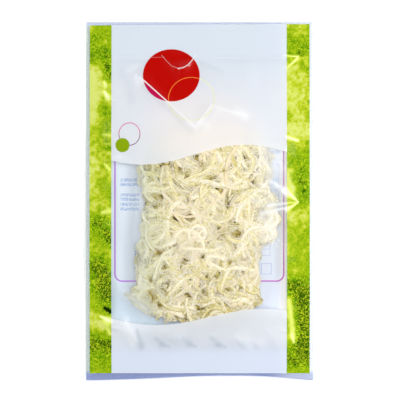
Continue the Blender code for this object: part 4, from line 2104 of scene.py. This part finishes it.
class Pouch:
    """The film's pieces: the printed front, the clear window, the back and the clear rim."""

    def __init__(self, film: Film) -> None:
        """Keep the film that the pieces are cut from.

        Args:
            film: The film.
        """
        self.film = film
        self.front_points = np.stack([film.x, film.y, film.front], axis=-1).reshape(-1, 3)
        self.back_points = np.stack([film.x, film.y, film.back], axis=-1).reshape(-1, 3)

    def build(self) -> list[bpy.types.Object]:
        """Make and dress all the film's pieces."""
        return [self.printed_front(), self.clear_window(), self.printed_back(), self.clear_rim()]

    def cut(self, name: str, points: Array, regions: set[Region], up: bool) -> bpy.types.Object:
        """The part of one film that lies in some regions, as a piece.

        Args:
            name: The piece's name.
            points: The film's points, row by row.
            regions: The regions that it takes in.
            up: Whether it faces up.

        Returns:
            The piece, with what the film stores at each point.
        """
        mask = np.isin(self.film.region, list(regions))
        faces = grid_faces(mask)
        if not up:
            faces = faces[:, ::-1]
        piece = make_mesh(name, *without_strays(points, faces))
        used = np.unique(faces)
        for mark, values in self.film.marks.items():
            store(piece.data, mark, values.reshape(-1)[used])
        return piece

    def printed_front(self) -> bpy.types.Object:
        """The white panels and the green bands.

        Returns:
            The piece, with a material for each.
        """
        piece = self.cut("printed_front", self.front_points, {Region.PANEL, Region.BAND}, True)
        piece.data.materials.append(PanelPrint().material(self.film.creases))
        piece.data.materials.append(PaperBand().material())
        printed = np.isin(self.film.region, [Region.PANEL, Region.BAND])
        band = (self.film.region[printed] == Region.BAND).astype(np.int32)
        piece.data.polygons.foreach_set("material_index", band)
        return piece

    def clear_window(self) -> bpy.types.Object:
        """The unprinted window over the squid.

        Returns:
            The piece.
        """
        piece = self.cut("clear_window", self.front_points, {Region.WINDOW}, True)
        piece.data.materials.append(ClearFilm().material())
        return piece

    def printed_back(self) -> bpy.types.Object:
        """The back film inside its margin.

        Returns:
            The piece.
        """
        regions = {Region.PANEL, Region.BAND, Region.WINDOW}
        piece = self.cut("printed_back", self.back_points, regions, False)
        piece.data.materials.append(BackPrint().material())
        return piece

    def clear_rim(self) -> bpy.types.Object:
        """The clear margin of both films, closed round the pouch's edge.

        Returns:
            The piece.
        """
        mask = self.film.region == Region.MARGIN
        above = grid_faces(mask)
        below = above[:, ::-1] + len(self.front_points)
        rows, columns = self.film.x.shape
        numbers = np.arange(rows * columns).reshape(rows, columns)
        loop = np.concatenate(
            [numbers[0, :-1], numbers[:-1, -1], numbers[-1, :0:-1], numbers[:0:-1, 0]]
        )
        after = np.roll(loop, -1)
        shift = len(self.front_points)
        strip = np.stack([loop, loop + shift, after + shift, after], axis=1)
        points = np.concatenate([self.front_points, self.back_points])
        faces = np.concatenate([above, below, strip])
        piece = make_mesh("clear_rim", *without_strays(points, faces))
        rim = ClearFilm("clear_rim_film", 0.14, roughness=0.16, rim=True)
        piece.data.materials.append(rim.material())
        return piece


@dataclass(frozen=True)
class Studio:
    """The plain pale floor, the soft light and the camera that looks straight down."""

    mm_per_pixel: float = 0.6154
    pixels: float = 400.0
    centre: tuple[float, float, float] = (0.15, 0.68, 4.0)
    distance: float = 1100.0
    sensor: float = 36.0
    dome: float = 0.62  # at the horizon; straight up, where the film is mirrored, it is dark
    zenith: float = 0.03
    dome_tint: Colour = (0.94, 0.97, 1.0)
    floor_half: float = 2500.0
    floor_drop: float = 0.3  # how far it lies below the pouch
    lamp_distance: float = 820.0
    # direction round the pouch and slant from straight up, in degrees; size; power in watts
    softboxes: tuple[Row, ...] = (
        (152.0, 45.0, 330.0, 1.6),
        (22.0, 47.0, 300.0, 2.6),
        (206.0, 50.0, 300.0, 1.0),
        (334.0, 50.0, 300.0, 1.4),
    )
    # height, size and power of the lamp overhead, which the gloss doesn't mirror
    overhead: tuple[float, float, float] = (1350.0, 900.0, 11.5)

    def build(self) -> None:
        """Set up the camera, the floor, the lamps and the colour transform."""
        self.camera()
        self.floor()
        self.lamps()
        scene = bpy.context.scene
        scene.view_settings.view_transform = "Standard"
        scene.view_settings.look = "None"

    def camera(self) -> None:
        """A long lens over the pouch, framed as the photograph is."""
        data = bpy.data.cameras.new("camera")
        data.sensor_width = self.sensor
        data.lens = self.sensor * self.distance / (self.mm_per_pixel * self.pixels)
        data.clip_start, data.clip_end = 0.05, 20.0
        camera = linked("camera", data)
        camera.location = Vector(self.centre) * MM + Vector((0, 0, self.distance * MM))
        bpy.context.scene.camera = camera

    def floor(self) -> None:
        """A wide pale floor just under the pouch."""
        half = self.floor_half
        corners = np.array([(-half, -half), (half, -half), (half, half), (-half, half)])
        points = np.column_stack([corners, np.full(4, -self.floor_drop)])
        floor = make_mesh("floor", points, np.array([[0, 1, 2, 3]]))
        finish = Finish("floor_paper", 0.9)
        _, _, place = finish.place()
        sketch = finish.sketch
        cloud = sketch.noise(place, 0.01)
        finish.colour(sketch.mix(cloud, (0.95, 0.95, 0.95), (0.97, 0.97, 0.97)))
        floor.data.materials.append(finish.material)

    def lamps(self) -> None:
        """A dim cool dome and a ring of softboxes, which the film's creases mirror."""
        world = bpy.data.worlds.new("studio")
        bpy.context.scene.world = world
        world.use_nodes = True
        sketch = Sketch(world.node_tree)
        around = sketch.node("ShaderNodeTexCoord").outputs["Generated"]
        split = sketch.node("ShaderNodeSeparateXYZ", {0: around})
        side = sketch.ramp(split.outputs["Z"], 0.82, 0.35)
        strength = side * (self.dome - self.zenith) + self.zenith
        fed = {"Color": self.dome_tint, "Strength": strength}
        background = sketch.node("ShaderNodeBackground", fed)
        sketch.node("ShaderNodeOutputWorld", {"Surface": background.outputs[0]})
        for number, (turn, slant, size, power) in enumerate(self.softboxes):
            low, high = math.radians(turn), math.radians(slant)
            place = Vector(
                (math.sin(high) * math.cos(low), math.sin(high) * math.sin(low), math.cos(high))
            )
            self.softbox(f"softbox_{number}", place * self.lamp_distance, size, power)
        height, size, power = self.overhead
        lamp = self.softbox("overhead", Vector((120.0, 0.0, height)), size, power)
        lamp.visible_glossy = False

    def softbox(self, name: str, place: Vector, size: float, power: float) -> bpy.types.Object:
        """A square area lamp that faces the pouch.

        Args:
            name: The lamp's name.
            place: Where it stands, in millimetres.
            size: Its side in millimetres.
            power: Its power in watts.

        Returns:
            The lamp.
        """
        data = bpy.data.lights.new(name, "AREA")
        data.size = size * MM
        data.energy = power
        lamp = linked(name, data)
        lamp.location = place * MM
        lamp.rotation_euler = place.to_track_quat("Z", "Y").to_euler()
        return lamp


def stands_in(piece: bpy.types.Object) -> None:
    """Make a finished piece part of the pouch, in place of the CAD solid.

    Args:
        piece: The finished piece.
    """
    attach(piece, BODY)
    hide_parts(NODE)
    log.info("%s: %d faces", piece.name, len(piece.data.polygons))


def main() -> None:
    """Build the pouch, its heap and the studio, and report each piece."""
    logging.basicConfig(level=logging.INFO, format="%(message)s")
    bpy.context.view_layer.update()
    form = PouchForm(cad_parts[NODE])
    film = Film(form)
    outline = HeapOutline()
    heap = SquidHeap(Pile(form.back, form.front, outline))
    for piece in Pouch(film).build():
        stands_in(piece)
    for piece in heap.build():
        stands_in(piece)
    Studio().build()


if __name__ == "__main__":
    main()
